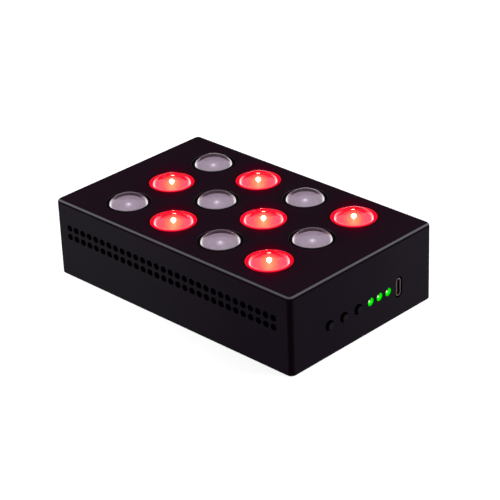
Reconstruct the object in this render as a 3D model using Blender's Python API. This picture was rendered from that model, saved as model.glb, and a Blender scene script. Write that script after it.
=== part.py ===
"""A portable red light therapy device, built as an assembly of separate pieces.

Everything is in metres, +Z up. The origin is at the middle of the underside of the case.
+X runs along the case to the end with the buttons, the status lights and the charging port.
The vents run along both long sides, and the lenses look up through the windows of the top.
"""
import math

import bmesh
import bpy
from mathutils import Matrix, Vector

# Clearances and helpers shared by every piece
GAP = 0.0003
OVERRUN = 0.0004
BOND = 0.0004
MERGE_DISTANCE = 0.000001
SMOOTH_ANGLE = math.radians(35)
ROUND_STEPS = 12

# Case
LENGTH = 0.1493
WIDTH = 0.0937
HEIGHT = 0.0386
WALL = 0.0020
TOP_THICKNESS = 0.0020
CORNER_RADIUS = 0.0026
TOP_EDGE_RADIUS = 0.0019
INNER_CORNER_RADIUS = 0.0008
CORNER_STEPS = 4
TOP_EDGE_STEPS = 4
INNER_CORNER_STEPS = 2

# Windows in the top, as wide as the land between them allows, and the lenses under them
WINDOW_COLUMNS = 4
WINDOW_ROWS = 3
WINDOW_LAND = 0.00695
WINDOW_END_MARGIN = 0.0298
WINDOW_SIDE_MARGIN = 0.0190
WINDOW_SHIFT_X = -0.0004
WINDOW_SHIFT_Y = 0.0004
WINDOW_STEPS = 32
LENS_CLEARANCE = 0.0016
LENS_RIM_DEPTH = 0.0006
LENS_SKIRT_HEIGHT = 0.0055
DOME_HEIGHT = 0.0045
DOME_STEPS = 3
FLANGE_OVERHANG = 0.00085
FLANGE_HEIGHT = 0.0012
LENS_STEPS = 16

# Vents in both long sides
VENT_RADIUS = 0.0016
VENT_PITCH = 0.0045
VENT_ROWS = 2
VENT_END_MARGIN = 0.0090
VENT_SHIFT_X = -0.0006
VENT_MIDDLE_HEIGHT = 0.0234
VENT_STEPS = 8

# Light board, its emitters and the heat sink under it
SIDE_BAY = 0.00335
LED_BOARD_THICKNESS = 0.0016
LED_BASE_RADIUS = 0.0025
LED_BASE_HEIGHT = 0.0009
LED_DOME_RADIUS = 0.0019
LED_DOME_HEIGHT = 0.00095
LED_CLEARANCE = 0.0009
LED_STEPS = 8
SINK_BASE_THICKNESS = 0.0020
FIN_LENGTH = 0.0060
FIN_THICKNESS = 0.0012
FINS_BETWEEN_FAN_SCREWS = 6
FIN_END_MARGIN = 0.0080
HOLDER_RIM = 0.0020
HOLDER_HOLE_STEPS = 16

# Bosses under the top and the screws of the heat sink
BOSS_RADIUS = 0.0034
BOSS_EDGE = 0.0011
BOSS_BORE_ROOF = 0.0012
SINK_SCREW_RADIUS = 0.0015
SINK_SCREW_REACH = 0.0085
SINK_HEAD_RADIUS = 0.0027
SINK_HEAD_HEIGHT = 0.0019
SINK_SOCKET_RADIUS = 0.0012
SINK_SOCKET_DEPTH = 0.0011

# Bottom cover, its posts and its countersunk screws
COVER_THICKNESS = 0.0020
COVER_EDGE = 0.00095
POST_WALL = 0.0013
POST_TOP = 0.0165
COVER_SCREW_RADIUS = 0.0015
COVER_SCREW_LENGTH = 0.0090
COVER_HEAD_RADIUS = 0.0028
COVER_HEAD_HEIGHT = 0.0013
COVER_HEAD_RECESS = 0.0002
COVER_SOCKET_RADIUS = 0.0010
COVER_SOCKET_DEPTH = 0.0009
COUNTERSINK_CLEARANCE = 0.00045
POST_BORE_DEPTH = 0.0110

# Controls at the +X end, all on one line
CONTROL_HEIGHT = 0.0152
BUTTON_COUNT = 3
FIRST_BUTTON_Y = -0.0223
BUTTON_PITCH = 0.0094
BUTTON_HOLE_RADIUS = 0.0025
BUTTON_CLEARANCE = 0.0006
BUTTON_PROUD = 0.0010
BUTTON_EDGE = 0.0003
BUTTON_FLANGE_OVERHANG = 0.0008
BUTTON_FLANGE_THICKNESS = 0.0010
BUTTON_STEM_RADIUS = 0.0011
BUTTON_TRAVEL = 0.0005
SWITCH_SIZE = 0.0060
SWITCH_DEPTH = 0.0036
STEM_ENGAGEMENT = 0.0012
LIGHT_COUNT = 3
FIRST_LIGHT_Y = 0.0051
LIGHT_PITCH = 0.0059
LIGHT_HOLE_RADIUS = 0.0020
LIGHT_CLEARANCE = 0.0003
LIGHT_RECESS = 0.0004
LIGHT_DOME_HEIGHT = 0.0010
LIGHT_FOOT_OVERHANG = 0.0007
LIGHT_FOOT_HEIGHT = 0.0010
PORT_Y = 0.0238
PORT_HEIGHT = 0.0149
PORT_TALL = 0.00894
PORT_WIDE = 0.00326
PORT_WALL = 0.0003
PORT_RECESS = 0.0002
PORT_OPENING_CLEARANCE = 0.0005
PORT_TONGUE_CLEARANCE = 0.00082
PORT_TONGUE_THICKNESS = 0.0007
PORT_TONGUE_SETBACK = 0.0009
PORT_BASE_DEPTH = 0.0045
PORT_END_FLAT = 0.00003
PORT_END_STEPS = 6

# Control board and the guides that hold its ends
CONTROL_BOARD_CLEARANCE = 0.0005
CONTROL_BOARD_THICKNESS = 0.0016
GUIDE_REACH = 0.0030
GUIDE_THICKNESS = 0.0013
GUIDE_TOP = 0.0180
GUIDE_GRIP = 0.0016
LINK_LENGTH = 0.0100
LINK_WIDTH = 0.0030
LINK_HEIGHT = 0.0040
LINK_SIDE_MARGIN = 0.0085
LINK_TAB_MARGIN = 0.0020
LINK_TAB_OVERHANG = 0.0005

# Battery pack, whose cells fill the room between the fan and the control board
CELL_COUNT = 3
CELL_NUB_RADIUS = 0.0030
CELL_NUB_HEIGHT = 0.0008
CELL_STEPS = 18
CELL_SPACING = 0.0016
TRAY_FLOOR = 0.0008
TRAY_WALL = 0.0014
TRAY_RIB = 0.0010
TRAY_WALL_HEIGHT = 0.0110
TRAY_RIB_HEIGHT = 0.0050
TRAY_SETBACK = 0.0074
SINK_AIR_GAP = 0.0006

# Fan under the fins, near the blank end of the case
FAN_END_SPACE = 0.0168
FAN_SIZE = 0.0400
FAN_THICKNESS = 0.0100
FAN_CORNER_RADIUS = 0.0030
FAN_WALL = 0.0010
FAN_HOLE_MARGIN = 0.0040
FAN_SCREW_REACH = 0.0040
FAN_HEAD_OVERHANG = 0.0013
FAN_HEAD_HEIGHT = 0.0016
FAN_SOCKET_RADIUS = 0.0011
FAN_SOCKET_DEPTH = 0.0008
FAN_TRAY_GAP = 0.0030
FAN_PLATE_THICKNESS = 0.0012
FAN_STRUT_WIDTH = 0.0020
FAN_SHAFT_RADIUS = 0.0012
STATOR_CLEARANCE = 0.0012
STATOR_HEIGHT = 0.0040
HUB_RADIUS = 0.0086
HUB_WALL = 0.0011
HUB_BOSS_RADIUS = 0.0027
HUB_TOP_CLEARANCE = 0.0008
BLADE_COUNT = 7
BLADE_CHORD = 0.0085
BLADE_THICKNESS = 0.0009
BLADE_TIP_CLEARANCE = 0.0006
BLADE_ROOT_PITCH = math.radians(48)
BLADE_TIP_PITCH = math.radians(30)
FAN_BORE_STEPS = 24

# Internal leads
LEAD_RADIUS = 0.0011
LEAD_STRAIGHT_END = 0.0022
LEAD_SMOOTHINGS = 2
CORNER_CUT_SHARE = 0.25
FAN_LEAD_HEIGHT_SHARE = 0.3
BATTERY_LEAD_HEIGHT_SHARE = 0.7
BATTERY_LEAD_SAG = 0.0016
BATTERY_LEAD_Y = 0.0100

# Levels and places worked out from the sizes above
END_X = LENGTH / 2
SIDE_Y = WIDTH / 2
INNER_END_X = END_X - WALL
INNER_SIDE_Y = SIDE_Y - WALL
TOP_UNDERSIDE = HEIGHT - TOP_THICKNESS
WINDOW_PITCH_X = (LENGTH - 2 * WINDOW_END_MARGIN) / (WINDOW_COLUMNS - 1)
WINDOW_PITCH_Y = (WIDTH - 2 * WINDOW_SIDE_MARGIN) / (WINDOW_ROWS - 1)
WINDOW_RADIUS = (min(WINDOW_PITCH_X, WINDOW_PITCH_Y) - WINDOW_LAND) / 2
LENS_RADIUS = WINDOW_RADIUS - LENS_CLEARANCE
FLANGE_RADIUS = LENS_RADIUS + FLANGE_OVERHANG
LENS_RIM_Z = HEIGHT - LENS_RIM_DEPTH
LENS_SEAT_Z = LENS_RIM_Z - LENS_SKIRT_HEIGHT
LED_BOARD_TOP = LENS_SEAT_Z - GAP
LED_BOARD_UNDERSIDE = LED_BOARD_TOP - LED_BOARD_THICKNESS
SINK_TOP = LED_BOARD_UNDERSIDE - GAP
SINK_BASE_UNDERSIDE = SINK_TOP - SINK_BASE_THICKNESS
STACK_SIDE_Y = INNER_SIDE_Y - SIDE_BAY
TRAY_Z = COVER_THICKNESS + GAP
FIN_TIP_Z = SINK_BASE_UNDERSIDE - FIN_LENGTH
CELL_SEAT_Z = TRAY_Z + TRAY_FLOOR + GAP
CELL_RADIUS = (FIN_TIP_Z - SINK_AIR_GAP - CELL_SEAT_Z) / 2
CELL_Z = CELL_SEAT_Z + CELL_RADIUS
FAN_BORE_RADIUS = FAN_SIZE / 2 - FAN_WALL
FAN_HOLE_SPACING = FAN_SIZE - 2 * FAN_HOLE_MARGIN
FIN_PITCH = FAN_HOLE_SPACING / FINS_BETWEEN_FAN_SCREWS
FAN_SCREW_RADIUS = (FIN_PITCH - FIN_THICKNESS) / 2 - GAP
STATOR_OUTER_RADIUS = HUB_RADIUS - HUB_WALL - STATOR_CLEARANCE
STATOR_INNER_RADIUS = HUB_BOSS_RADIUS + STATOR_CLEARANCE
POST_SCREW_INSET = GAP + COVER_EDGE + COUNTERSINK_CLEARANCE + COVER_HEAD_RADIUS
POST_SIZE = POST_SCREW_INSET + COVER_SCREW_RADIUS + GAP + POST_WALL
BOARD_FACE_X = INNER_END_X - POST_SIZE - CONTROL_BOARD_CLEARANCE
BOARD_BACK_X = BOARD_FACE_X - CONTROL_BOARD_THICKNESS
BOARD_TOP = LED_BOARD_UNDERSIDE - LINK_HEIGHT - 2 * GAP
LINK_X = (BOARD_BACK_X + BOARD_FACE_X) / 2
LINK_Y = STACK_SIDE_Y - LINK_SIDE_MARGIN - LINK_LENGTH / 2
STACK_END_X = LINK_X - LINK_WIDTH / 2 - GAP
BOARD_SIDE_Y = INNER_SIDE_Y - GUIDE_REACH + GUIDE_GRIP
FAN_X = -INNER_END_X + FAN_END_SPACE + FAN_SIZE / 2
TRAY_START_X = FAN_X + FAN_SIZE / 2 + FAN_TRAY_GAP
TRAY_END_X = BOARD_BACK_X - TRAY_SETBACK
CELL_LENGTH = TRAY_END_X - TRAY_START_X - 2 * (TRAY_WALL + GAP)
CELL_PITCH = 2 * CELL_RADIUS + CELL_SPACING
TRAY_SIDE_Y = (CELL_COUNT - 1) * CELL_PITCH / 2 + CELL_RADIUS + GAP + TRAY_WALL
FAN_TOP = FIN_TIP_Z - GAP
FAN_UNDERSIDE = FAN_TOP - FAN_THICKNESS
POST_X = INNER_END_X - POST_SCREW_INSET
POST_Y = INNER_SIDE_Y - POST_SCREW_INSET
BOSS_X = STACK_END_X - BOSS_EDGE - BOSS_RADIUS
BOSS_Y = STACK_SIDE_Y - BOSS_EDGE - BOSS_RADIUS
BUTTON_RADIUS = BUTTON_HOLE_RADIUS - BUTTON_CLEARANCE
LIGHT_PIPE_RADIUS = LIGHT_HOLE_RADIUS - LIGHT_CLEARANCE
CORNERS = [(sx, sy) for sx in (-1, 1) for sy in (-1, 1)]
TOWARDS_X = (0, math.pi / 2, 0)


def clear_scene():
    """Remove every object that is in the scene."""
    for obj in list(bpy.data.objects):
        bpy.data.objects.remove(obj, do_unlink=True)


def finish(name, colour, roughness, metallic):
    """A material with one colour, roughness and metallic value."""
    material = bpy.data.materials.new(name)
    material.use_nodes = True
    shader = material.node_tree.nodes["Principled BSDF"]
    shader.inputs["Base Color"].default_value = (*colour, 1)
    shader.inputs["Roughness"].default_value = roughness
    shader.inputs["Metallic"].default_value = metallic
    return material


def black_coat():
    return finish("black_coat", (0.016, 0.015, 0.017), 0.45, 0.0)


def black_plastic():
    return finish("black_plastic", (0.02, 0.02, 0.02), 0.5, 0.0)


def clear_lens():
    return finish("clear_lens", (0.6, 0.56, 0.6), 0.08, 0.0)


def red_lens():
    return finish("red_lens", (0.9, 0.05, 0.05), 0.08, 0.0)


def green_light():
    return finish("green_light", (0.02, 0.9, 0.05), 0.2, 0.0)


def black_anodised():
    return finish("black_anodised", (0.03, 0.03, 0.033), 0.45, 0.6)


def black_board():
    return finish("black_board", (0.02, 0.02, 0.022), 0.5, 0.0)


def green_board():
    return finish("green_board", (0.02, 0.16, 0.06), 0.45, 0.0)


def dark_steel():
    return finish("dark_steel", (0.12, 0.12, 0.12), 0.4, 1.0)


def port_steel():
    return finish("port_steel", (0.45, 0.42, 0.42), 0.35, 1.0)


def cell_wrap():
    return finish("cell_wrap", (0.05, 0.12, 0.35), 0.4, 0.0)


def lead_rubber():
    return finish("lead_rubber", (0.03, 0.03, 0.03), 0.6, 0.0)


def emitter_yellow():
    return finish("emitter_yellow", (0.8, 0.7, 0.35), 0.3, 0.0)


def block(bm, low, high):
    """Add a box between two opposite corners."""
    low = Vector(low)
    high = Vector(high)
    size = high - low
    place = Matrix.Translation((low + high) / 2) @ Matrix.Diagonal((*size, 1))
    return bmesh.ops.create_cube(bm, size=1, matrix=place)["verts"]


def rod(bm, radius, start, end, steps):
    """Add a cylinder between two points."""
    start = Vector(start)
    end = Vector(end)
    along = end - start
    turn = along.to_track_quat("Z", "Y").to_matrix().to_4x4()
    bmesh.ops.create_cone(bm, cap_ends=True, segments=steps, radius1=radius, radius2=radius,
                          depth=along.length, matrix=Matrix.Translation((start + end) / 2) @ turn)


def extruded(bm, outline, axis, low, high):
    """Add a straight prism: the outline's two values are the two other axes, in X, Y, Z order."""
    def place(a, b, h):
        if axis == "X":
            return (h, a, b)
        if axis == "Y":
            return (a, h, b)
        return (a, b, h)

    face = bm.faces.new([bm.verts.new(place(a, b, low)) for a, b in outline])
    grown = bmesh.ops.extrude_face_region(bm, geom=[face])["geom"]
    moved = [item for item in grown if isinstance(item, bmesh.types.BMVert)]
    bmesh.ops.translate(bm, verts=moved, vec=place(0, 0, high - low))


def turned(bm, profile, steps):
    """Add a body of revolution round Z. The profile runs from the axis to the axis as (radius, height)."""
    verts = [bm.verts.new((radius, 0, height)) for radius, height in profile]
    edges = [bm.edges.new(pair) for pair in zip(verts, verts[1:])]
    bmesh.ops.spin(bm, geom=verts + edges, cent=(0, 0, 0), axis=(0, 0, 1), angle=math.tau, steps=steps,
                   use_merge=True)
    bmesh.ops.remove_doubles(bm, verts=bm.verts[:], dist=MERGE_DISTANCE)


def dome_profile(radius, base, height):
    """Three points of a low dome, from its rim to the axis."""
    slope = math.sqrt(0.5)
    return [(radius, base), (radius * slope, base + height * slope), (0, base + height)]


def round_corners(length, width, radius, steps):
    """The outline of a rectangle with round corners, centred on the origin."""
    outline = []
    for quarter, (sx, sy) in enumerate([(1, 1), (-1, 1), (-1, -1), (1, -1)]):
        centre = (sx * (length / 2 - radius), sy * (width / 2 - radius))
        for step in range(steps + 1):
            angle = (quarter + step / steps) * math.pi / 2
            outline.append((centre[0] + radius * math.cos(angle), centre[1] + radius * math.sin(angle)))
    return outline


def finished_mesh(name, bm):
    """Turn a finished bmesh into a mesh whose faces point outwards."""
    bmesh.ops.recalc_face_normals(bm, faces=bm.faces[:])
    mesh = bpy.data.meshes.new(name)
    bm.to_mesh(mesh)
    bm.free()
    return mesh


def put(name, mesh, material, location=(0, 0, 0), rotation=(0, 0, 0), smooth=False):
    """Make one object of the assembly."""
    obj = bpy.data.objects.new(name, mesh)
    bpy.context.scene.collection.objects.link(obj)
    if not mesh.materials:
        mesh.materials.append(material)
    obj.location = location
    obj.rotation_euler = rotation
    if smooth:
        mesh.shade_smooth()
        mesh.set_sharp_from_angle(angle=SMOOTH_ANGLE)
    return obj


def cutter(name, mesh):
    """Make a guide object that only shapes another one."""
    obj = bpy.data.objects.new(name, mesh)
    bpy.context.scene.collection.objects.link(obj)
    obj.hide_render = True
    obj.display_type = "WIRE"
    return obj


def combine(obj, other, operation):
    """Cut the other object from this one, or join it on."""
    modifier = obj.modifiers.new(operation.title() + " " + other.name, "BOOLEAN")
    modifier.operation = operation
    modifier.object = other
    modifier.solver = "EXACT"


def window_places():
    """Column, row and centre of every window."""
    for column in range(WINDOW_COLUMNS):
        for row in range(WINDOW_ROWS):
            x = WINDOW_SHIFT_X + (column - (WINDOW_COLUMNS - 1) / 2) * WINDOW_PITCH_X
            y = WINDOW_SHIFT_Y + (row - (WINDOW_ROWS - 1) / 2) * WINDOW_PITCH_Y
            yield column, row, x, y


def vent_columns():
    """The X of every column of vents."""
    count = int((LENGTH - 2 * VENT_END_MARGIN) / VENT_PITCH) + 1
    return [VENT_SHIFT_X + (column - (count - 1) / 2) * VENT_PITCH for column in range(count)]


def vent_heights():
    return [VENT_MIDDLE_HEIGHT + (row - (VENT_ROWS - 1) / 2) * VENT_PITCH for row in range(VENT_ROWS)]


def button_places():
    return [FIRST_BUTTON_Y + number * BUTTON_PITCH for number in range(BUTTON_COUNT)]


def light_places():
    return [FIRST_LIGHT_Y + number * LIGHT_PITCH for number in range(LIGHT_COUNT)]


def port_outline(grow):
    """The upright slot shape of the charging port, made larger all round."""
    wide = PORT_WIDE + 2 * grow
    return round_corners(wide, PORT_TALL + 2 * grow, wide / 2 - PORT_END_FLAT, PORT_END_STEPS)


def moved_outline(outline, across, up):
    return [(a + across, b + up) for a, b in outline]


def housing_shell():
    """The outside of the case: a block with round upright edges and round top edges."""
    bm = bmesh.new()
    block(bm, (-END_X, -SIDE_Y, 0), (END_X, SIDE_Y, HEIGHT))
    upright = [edge for edge in bm.edges if abs(edge.verts[0].co.z - edge.verts[1].co.z) > HEIGHT / 2]
    bmesh.ops.bevel(bm, geom=upright, offset=CORNER_RADIUS, offset_type="OFFSET", segments=CORNER_STEPS,
                    profile=0.5, affect="EDGES", material=-1)
    top = [edge for edge in bm.edges if min(vert.co.z for vert in edge.verts) > HEIGHT - GAP]
    bmesh.ops.bevel(bm, geom=top, offset=TOP_EDGE_RADIUS, offset_type="OFFSET", segments=TOP_EDGE_STEPS,
                    profile=0.5, affect="EDGES", material=-1)
    return finished_mesh("housing", bm)


def housing_cavity():
    """The inside of the case, open at the bottom."""
    bm = bmesh.new()
    outline = round_corners(2 * INNER_END_X, 2 * INNER_SIDE_Y, INNER_CORNER_RADIUS, INNER_CORNER_STEPS)
    extruded(bm, outline, "Z", -OVERRUN, TOP_UNDERSIDE)
    return finished_mesh("housing_cavity", bm)


def housing_posts():
    """Corner posts for the cover's screws and bosses for the screws of the heat sink."""
    bm = bmesh.new()
    for sx, sy in CORNERS:
        outer = (sx * (INNER_END_X + BOND), sy * (INNER_SIDE_Y + BOND), TRAY_Z)
        inner = (sx * (INNER_END_X - POST_SIZE), sy * (INNER_SIDE_Y - POST_SIZE), POST_TOP)
        block(bm, outer, inner)
        boss = (sx * BOSS_X, sy * BOSS_Y)
        rod(bm, BOSS_RADIUS, (*boss, LED_BOARD_TOP + GAP), (*boss, TOP_UNDERSIDE + BOND), ROUND_STEPS)
    return finished_mesh("housing_posts", bm)


def housing_guides():
    """Upright ribs on both long walls that the ends of the control board stand between."""
    bm = bmesh.new()
    for side in (-1, 1):
        wall_y = side * (INNER_SIDE_Y + BOND)
        rib_y = side * (INNER_SIDE_Y - GUIDE_REACH)
        for near, depth in ((BOARD_BACK_X - GAP, -GUIDE_THICKNESS), (BOARD_FACE_X + GAP, GUIDE_THICKNESS)):
            block(bm, (near, wall_y, TRAY_Z), (near + depth, rib_y, GUIDE_TOP))
    return finished_mesh("housing_guides", bm)


def housing_openings():
    """Windows, vents, screw bores and the openings for the controls."""
    bm = bmesh.new()
    for _, _, x, y in window_places():
        rod(bm, WINDOW_RADIUS, (x, y, TOP_UNDERSIDE - OVERRUN), (x, y, HEIGHT + OVERRUN), WINDOW_STEPS)
    for side in (-1, 1):
        for x in vent_columns():
            for z in vent_heights():
                rod(bm, VENT_RADIUS, (x, side * (INNER_SIDE_Y - OVERRUN), z), (x, side * (SIDE_Y + OVERRUN), z),
                    VENT_STEPS)
    inside = INNER_END_X - OVERRUN
    outside = END_X + OVERRUN
    for y in button_places():
        rod(bm, BUTTON_HOLE_RADIUS, (inside, y, CONTROL_HEIGHT), (outside, y, CONTROL_HEIGHT), ROUND_STEPS)
    for y in light_places():
        rod(bm, LIGHT_HOLE_RADIUS, (inside, y, CONTROL_HEIGHT), (outside, y, CONTROL_HEIGHT), ROUND_STEPS)
    extruded(bm, moved_outline(port_outline(PORT_OPENING_CLEARANCE), PORT_Y, PORT_HEIGHT), "X", inside, outside)
    for sx, sy in CORNERS:
        post = (sx * POST_X, sy * POST_Y)
        rod(bm, COVER_SCREW_RADIUS + GAP, (*post, TRAY_Z - OVERRUN), (*post, TRAY_Z + POST_BORE_DEPTH),
            ROUND_STEPS)
        boss = (sx * BOSS_X, sy * BOSS_Y)
        rod(bm, SINK_SCREW_RADIUS + GAP, (*boss, LED_BOARD_TOP), (*boss, HEIGHT - BOSS_BORE_ROOF),
            ROUND_STEPS)
    return finished_mesh("housing_openings", bm)


def make_housing():
    housing = put("housing", housing_shell(), black_coat())
    combine(housing, cutter("housing_cavity", housing_cavity()), "DIFFERENCE")
    combine(housing, cutter("housing_posts", housing_posts()), "UNION")
    combine(housing, cutter("housing_guides", housing_guides()), "UNION")
    combine(housing, cutter("housing_openings", housing_openings()), "DIFFERENCE")


def countersinks():
    """The countersunk hole of each cover screw."""
    bm = bmesh.new()
    mouth = COVER_HEAD_RADIUS + COUNTERSINK_CLEARANCE
    bore = COVER_SCREW_RADIUS + COUNTERSINK_CLEARANCE
    top = COVER_THICKNESS + OVERRUN
    profile = [(0, -OVERRUN), (mouth, -OVERRUN), (mouth, COVER_HEAD_RECESS),
               (bore, COVER_HEAD_RECESS + COVER_HEAD_HEIGHT), (bore, top), (0, top)]
    for sx, sy in CORNERS:
        old = set(bm.verts)
        turned(bm, profile, ROUND_STEPS)
        new = [vert for vert in bm.verts if vert not in old]
        bmesh.ops.translate(bm, verts=new, vec=(sx * POST_X, sy * POST_Y, 0))
    return finished_mesh("countersinks", bm)


def make_bottom_cover():
    bm = bmesh.new()
    outline = round_corners(2 * (INNER_END_X - GAP), 2 * (INNER_SIDE_Y - GAP), INNER_CORNER_RADIUS,
                            INNER_CORNER_STEPS)
    extruded(bm, outline, "Z", 0, COVER_THICKNESS)
    cover = put("bottom_cover", finished_mesh("bottom_cover", bm), black_coat())
    combine(cover, cutter("cover_countersinks", countersinks()), "DIFFERENCE")


def make_cover_screws():
    """Countersunk screws, head down, each in its own corner post."""
    bm = bmesh.new()
    cone_top = COVER_HEAD_RECESS + COVER_HEAD_HEIGHT
    socket_top = COVER_HEAD_RECESS + COVER_SOCKET_DEPTH
    profile = [(0, socket_top), (COVER_SOCKET_RADIUS, socket_top), (COVER_SOCKET_RADIUS, COVER_HEAD_RECESS),
               (COVER_HEAD_RADIUS, COVER_HEAD_RECESS), (COVER_SCREW_RADIUS, cone_top),
               (COVER_SCREW_RADIUS, COVER_SCREW_LENGTH), (0, COVER_SCREW_LENGTH)]
    turned(bm, profile, ROUND_STEPS)
    mesh = finished_mesh("cover_screw", bm)
    steel = dark_steel()
    for number, (sx, sy) in enumerate(CORNERS, 1):
        put(f"cover_screw_{number}", mesh, steel, (sx * POST_X, sy * POST_Y, 0), smooth=True)


def lens_mesh():
    """A dome on a round skirt with a seat flange, hollowed under its middle for the emitter."""
    ball = (LENS_RADIUS ** 2 + DOME_HEIGHT ** 2) / (2 * DOME_HEIGHT)
    opening = math.asin(LENS_RADIUS / ball)
    pocket = LED_BASE_RADIUS + LED_CLEARANCE
    pocket_top = LED_BASE_HEIGHT + LED_DOME_HEIGHT + LED_CLEARANCE
    profile = [(0, pocket_top), (pocket, pocket_top), (pocket, 0), (FLANGE_RADIUS, 0),
               (FLANGE_RADIUS, FLANGE_HEIGHT), (LENS_RADIUS, FLANGE_HEIGHT)]
    for step in range(DOME_STEPS + 1):
        angle = opening * (1 - step / DOME_STEPS)
        profile.append((ball * math.sin(angle), LENS_SKIRT_HEIGHT + DOME_HEIGHT - ball * (1 - math.cos(angle))))
    bm = bmesh.new()
    turned(bm, profile, LENS_STEPS)
    return finished_mesh("lens", bm)


def led_mesh():
    """A light emitter: a round base with a small dome."""
    bm = bmesh.new()
    profile = [(0, 0), (LED_BASE_RADIUS, 0), (LED_BASE_RADIUS, LED_BASE_HEIGHT)]
    profile += dome_profile(LED_DOME_RADIUS, LED_BASE_HEIGHT, LED_DOME_HEIGHT)
    turned(bm, profile, LED_STEPS)
    return finished_mesh("led", bm)


def make_lights():
    """A lens and an emitter under each window: red and infrared ones take turns, as on a chessboard."""
    meshes = {"red": lens_mesh(), "infrared": lens_mesh()}
    glass = {"red": red_lens(), "infrared": clear_lens()}
    leds = led_mesh()
    emitter = emitter_yellow()
    count = {"red": 0, "infrared": 0}
    for column, row, x, y in window_places():
        colour = "red" if (column + row) % 2 else "infrared"
        count[colour] += 1
        number = count[colour]
        put(f"{colour}_lens_{number}", meshes[colour], glass[colour], (x, y, LENS_SEAT_Z), smooth=True)
        put(f"{colour}_led_{number}", leds, emitter, (x, y, LED_BOARD_TOP + GAP), smooth=True)


def make_lens_holder():
    """A plate that clamps the flanges of the lenses, on a rim that stands on the light board."""
    plate_underside = LENS_SEAT_Z + FLANGE_HEIGHT + GAP
    bm = bmesh.new()
    block(bm, (-STACK_END_X, -STACK_SIDE_Y, LENS_SEAT_Z), (STACK_END_X, STACK_SIDE_Y, TOP_UNDERSIDE - GAP))
    holder = put("lens_holder", finished_mesh("lens_holder", bm), black_plastic())
    hollow = bmesh.new()
    block(hollow, (-STACK_END_X + HOLDER_RIM, -STACK_SIDE_Y + HOLDER_RIM, LENS_SEAT_Z - OVERRUN),
          (STACK_END_X - HOLDER_RIM, STACK_SIDE_Y - HOLDER_RIM, plate_underside))
    holes = bmesh.new()
    for _, _, x, y in window_places():
        rod(holes, LENS_RADIUS + GAP, (x, y, plate_underside - OVERRUN), (x, y, TOP_UNDERSIDE + OVERRUN),
            HOLDER_HOLE_STEPS)
    for sx, sy in CORNERS:
        rod(holes, BOSS_RADIUS + GAP, (sx * BOSS_X, sy * BOSS_Y, LENS_SEAT_Z - OVERRUN),
            (sx * BOSS_X, sy * BOSS_Y, TOP_UNDERSIDE + OVERRUN), ROUND_STEPS)
    combine(holder, cutter("holder_hollow", finished_mesh("holder_hollow", hollow)), "DIFFERENCE")
    combine(holder, cutter("holder_holes", finished_mesh("holder_holes", holes)), "DIFFERENCE")


def screw_holes(name, low, high):
    """The four holes that the screws of the heat sink pass through."""
    bm = bmesh.new()
    for sx, sy in CORNERS:
        rod(bm, SINK_SCREW_RADIUS + GAP, (sx * BOSS_X, sy * BOSS_Y, low - OVERRUN),
            (sx * BOSS_X, sy * BOSS_Y, high + OVERRUN), ROUND_STEPS)
    return cutter(name, finished_mesh(name, bm))


def make_led_board():
    """The light board, with a tab over the link of the control board."""
    tab_end = LINK_X + LINK_WIDTH / 2 + LINK_TAB_OVERHANG
    tab_low = LINK_Y - LINK_LENGTH / 2 - LINK_TAB_MARGIN
    tab_high = LINK_Y + LINK_LENGTH / 2 + LINK_TAB_MARGIN
    outline = [(-STACK_END_X, -STACK_SIDE_Y), (STACK_END_X, -STACK_SIDE_Y), (STACK_END_X, tab_low),
               (tab_end, tab_low), (tab_end, tab_high), (STACK_END_X, tab_high), (STACK_END_X, STACK_SIDE_Y),
               (-STACK_END_X, STACK_SIDE_Y)]
    bm = bmesh.new()
    extruded(bm, outline, "Z", LED_BOARD_UNDERSIDE, LED_BOARD_TOP)
    board = put("led_board", finished_mesh("led_board", bm), black_board())
    combine(board, screw_holes("led_board_holes", LED_BOARD_UNDERSIDE, LED_BOARD_TOP), "DIFFERENCE")


def make_heat_sink():
    """A plate with fins that run across the case, in line with the vents."""
    screw_x = FAN_X - FAN_HOLE_SPACING / 2
    reach = STACK_END_X - FIN_END_MARGIN
    first = math.ceil((-reach - screw_x) / FIN_PITCH)
    last = math.floor((reach - screw_x) / FIN_PITCH)
    outline = [(STACK_END_X, SINK_TOP), (-STACK_END_X, SINK_TOP), (-STACK_END_X, SINK_BASE_UNDERSIDE)]
    for number in range(first, last):
        middle = screw_x + (number + 0.5) * FIN_PITCH
        left = middle - FIN_THICKNESS / 2
        right = middle + FIN_THICKNESS / 2
        outline += [(left, SINK_BASE_UNDERSIDE), (left, FIN_TIP_Z), (right, FIN_TIP_Z),
                    (right, SINK_BASE_UNDERSIDE)]
    outline.append((STACK_END_X, SINK_BASE_UNDERSIDE))
    bm = bmesh.new()
    extruded(bm, outline, "Y", -STACK_SIDE_Y, STACK_SIDE_Y)
    sink = put("heat_sink", finished_mesh("heat_sink", bm), black_anodised())
    combine(sink, screw_holes("heat_sink_holes", SINK_BASE_UNDERSIDE, SINK_TOP), "DIFFERENCE")


def pan_screw(name, radius, reach, head_radius, head_height, socket_radius, socket_depth):
    """A screw with a domed head below the seat and its shank above it."""
    bm = bmesh.new()
    profile = [(0, socket_depth - head_height), (socket_radius, socket_depth - head_height),
               (socket_radius, -head_height), (head_radius, -head_height), (head_radius, 0), (radius, 0),
               (radius, reach), (0, reach)]
    turned(bm, profile, ROUND_STEPS)
    return finished_mesh(name, bm)


def make_sink_screws():
    """Screws up through the heat sink and the light board into the bosses of the case."""
    mesh = pan_screw("sink_screw", SINK_SCREW_RADIUS, SINK_SCREW_REACH, SINK_HEAD_RADIUS, SINK_HEAD_HEIGHT,
                     SINK_SOCKET_RADIUS, SINK_SOCKET_DEPTH)
    steel = dark_steel()
    for number, (sx, sy) in enumerate(CORNERS, 1):
        place = (sx * BOSS_X, sy * BOSS_Y, SINK_BASE_UNDERSIDE - GAP)
        put(f"sink_screw_{number}", mesh, steel, place, smooth=True)


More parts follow.
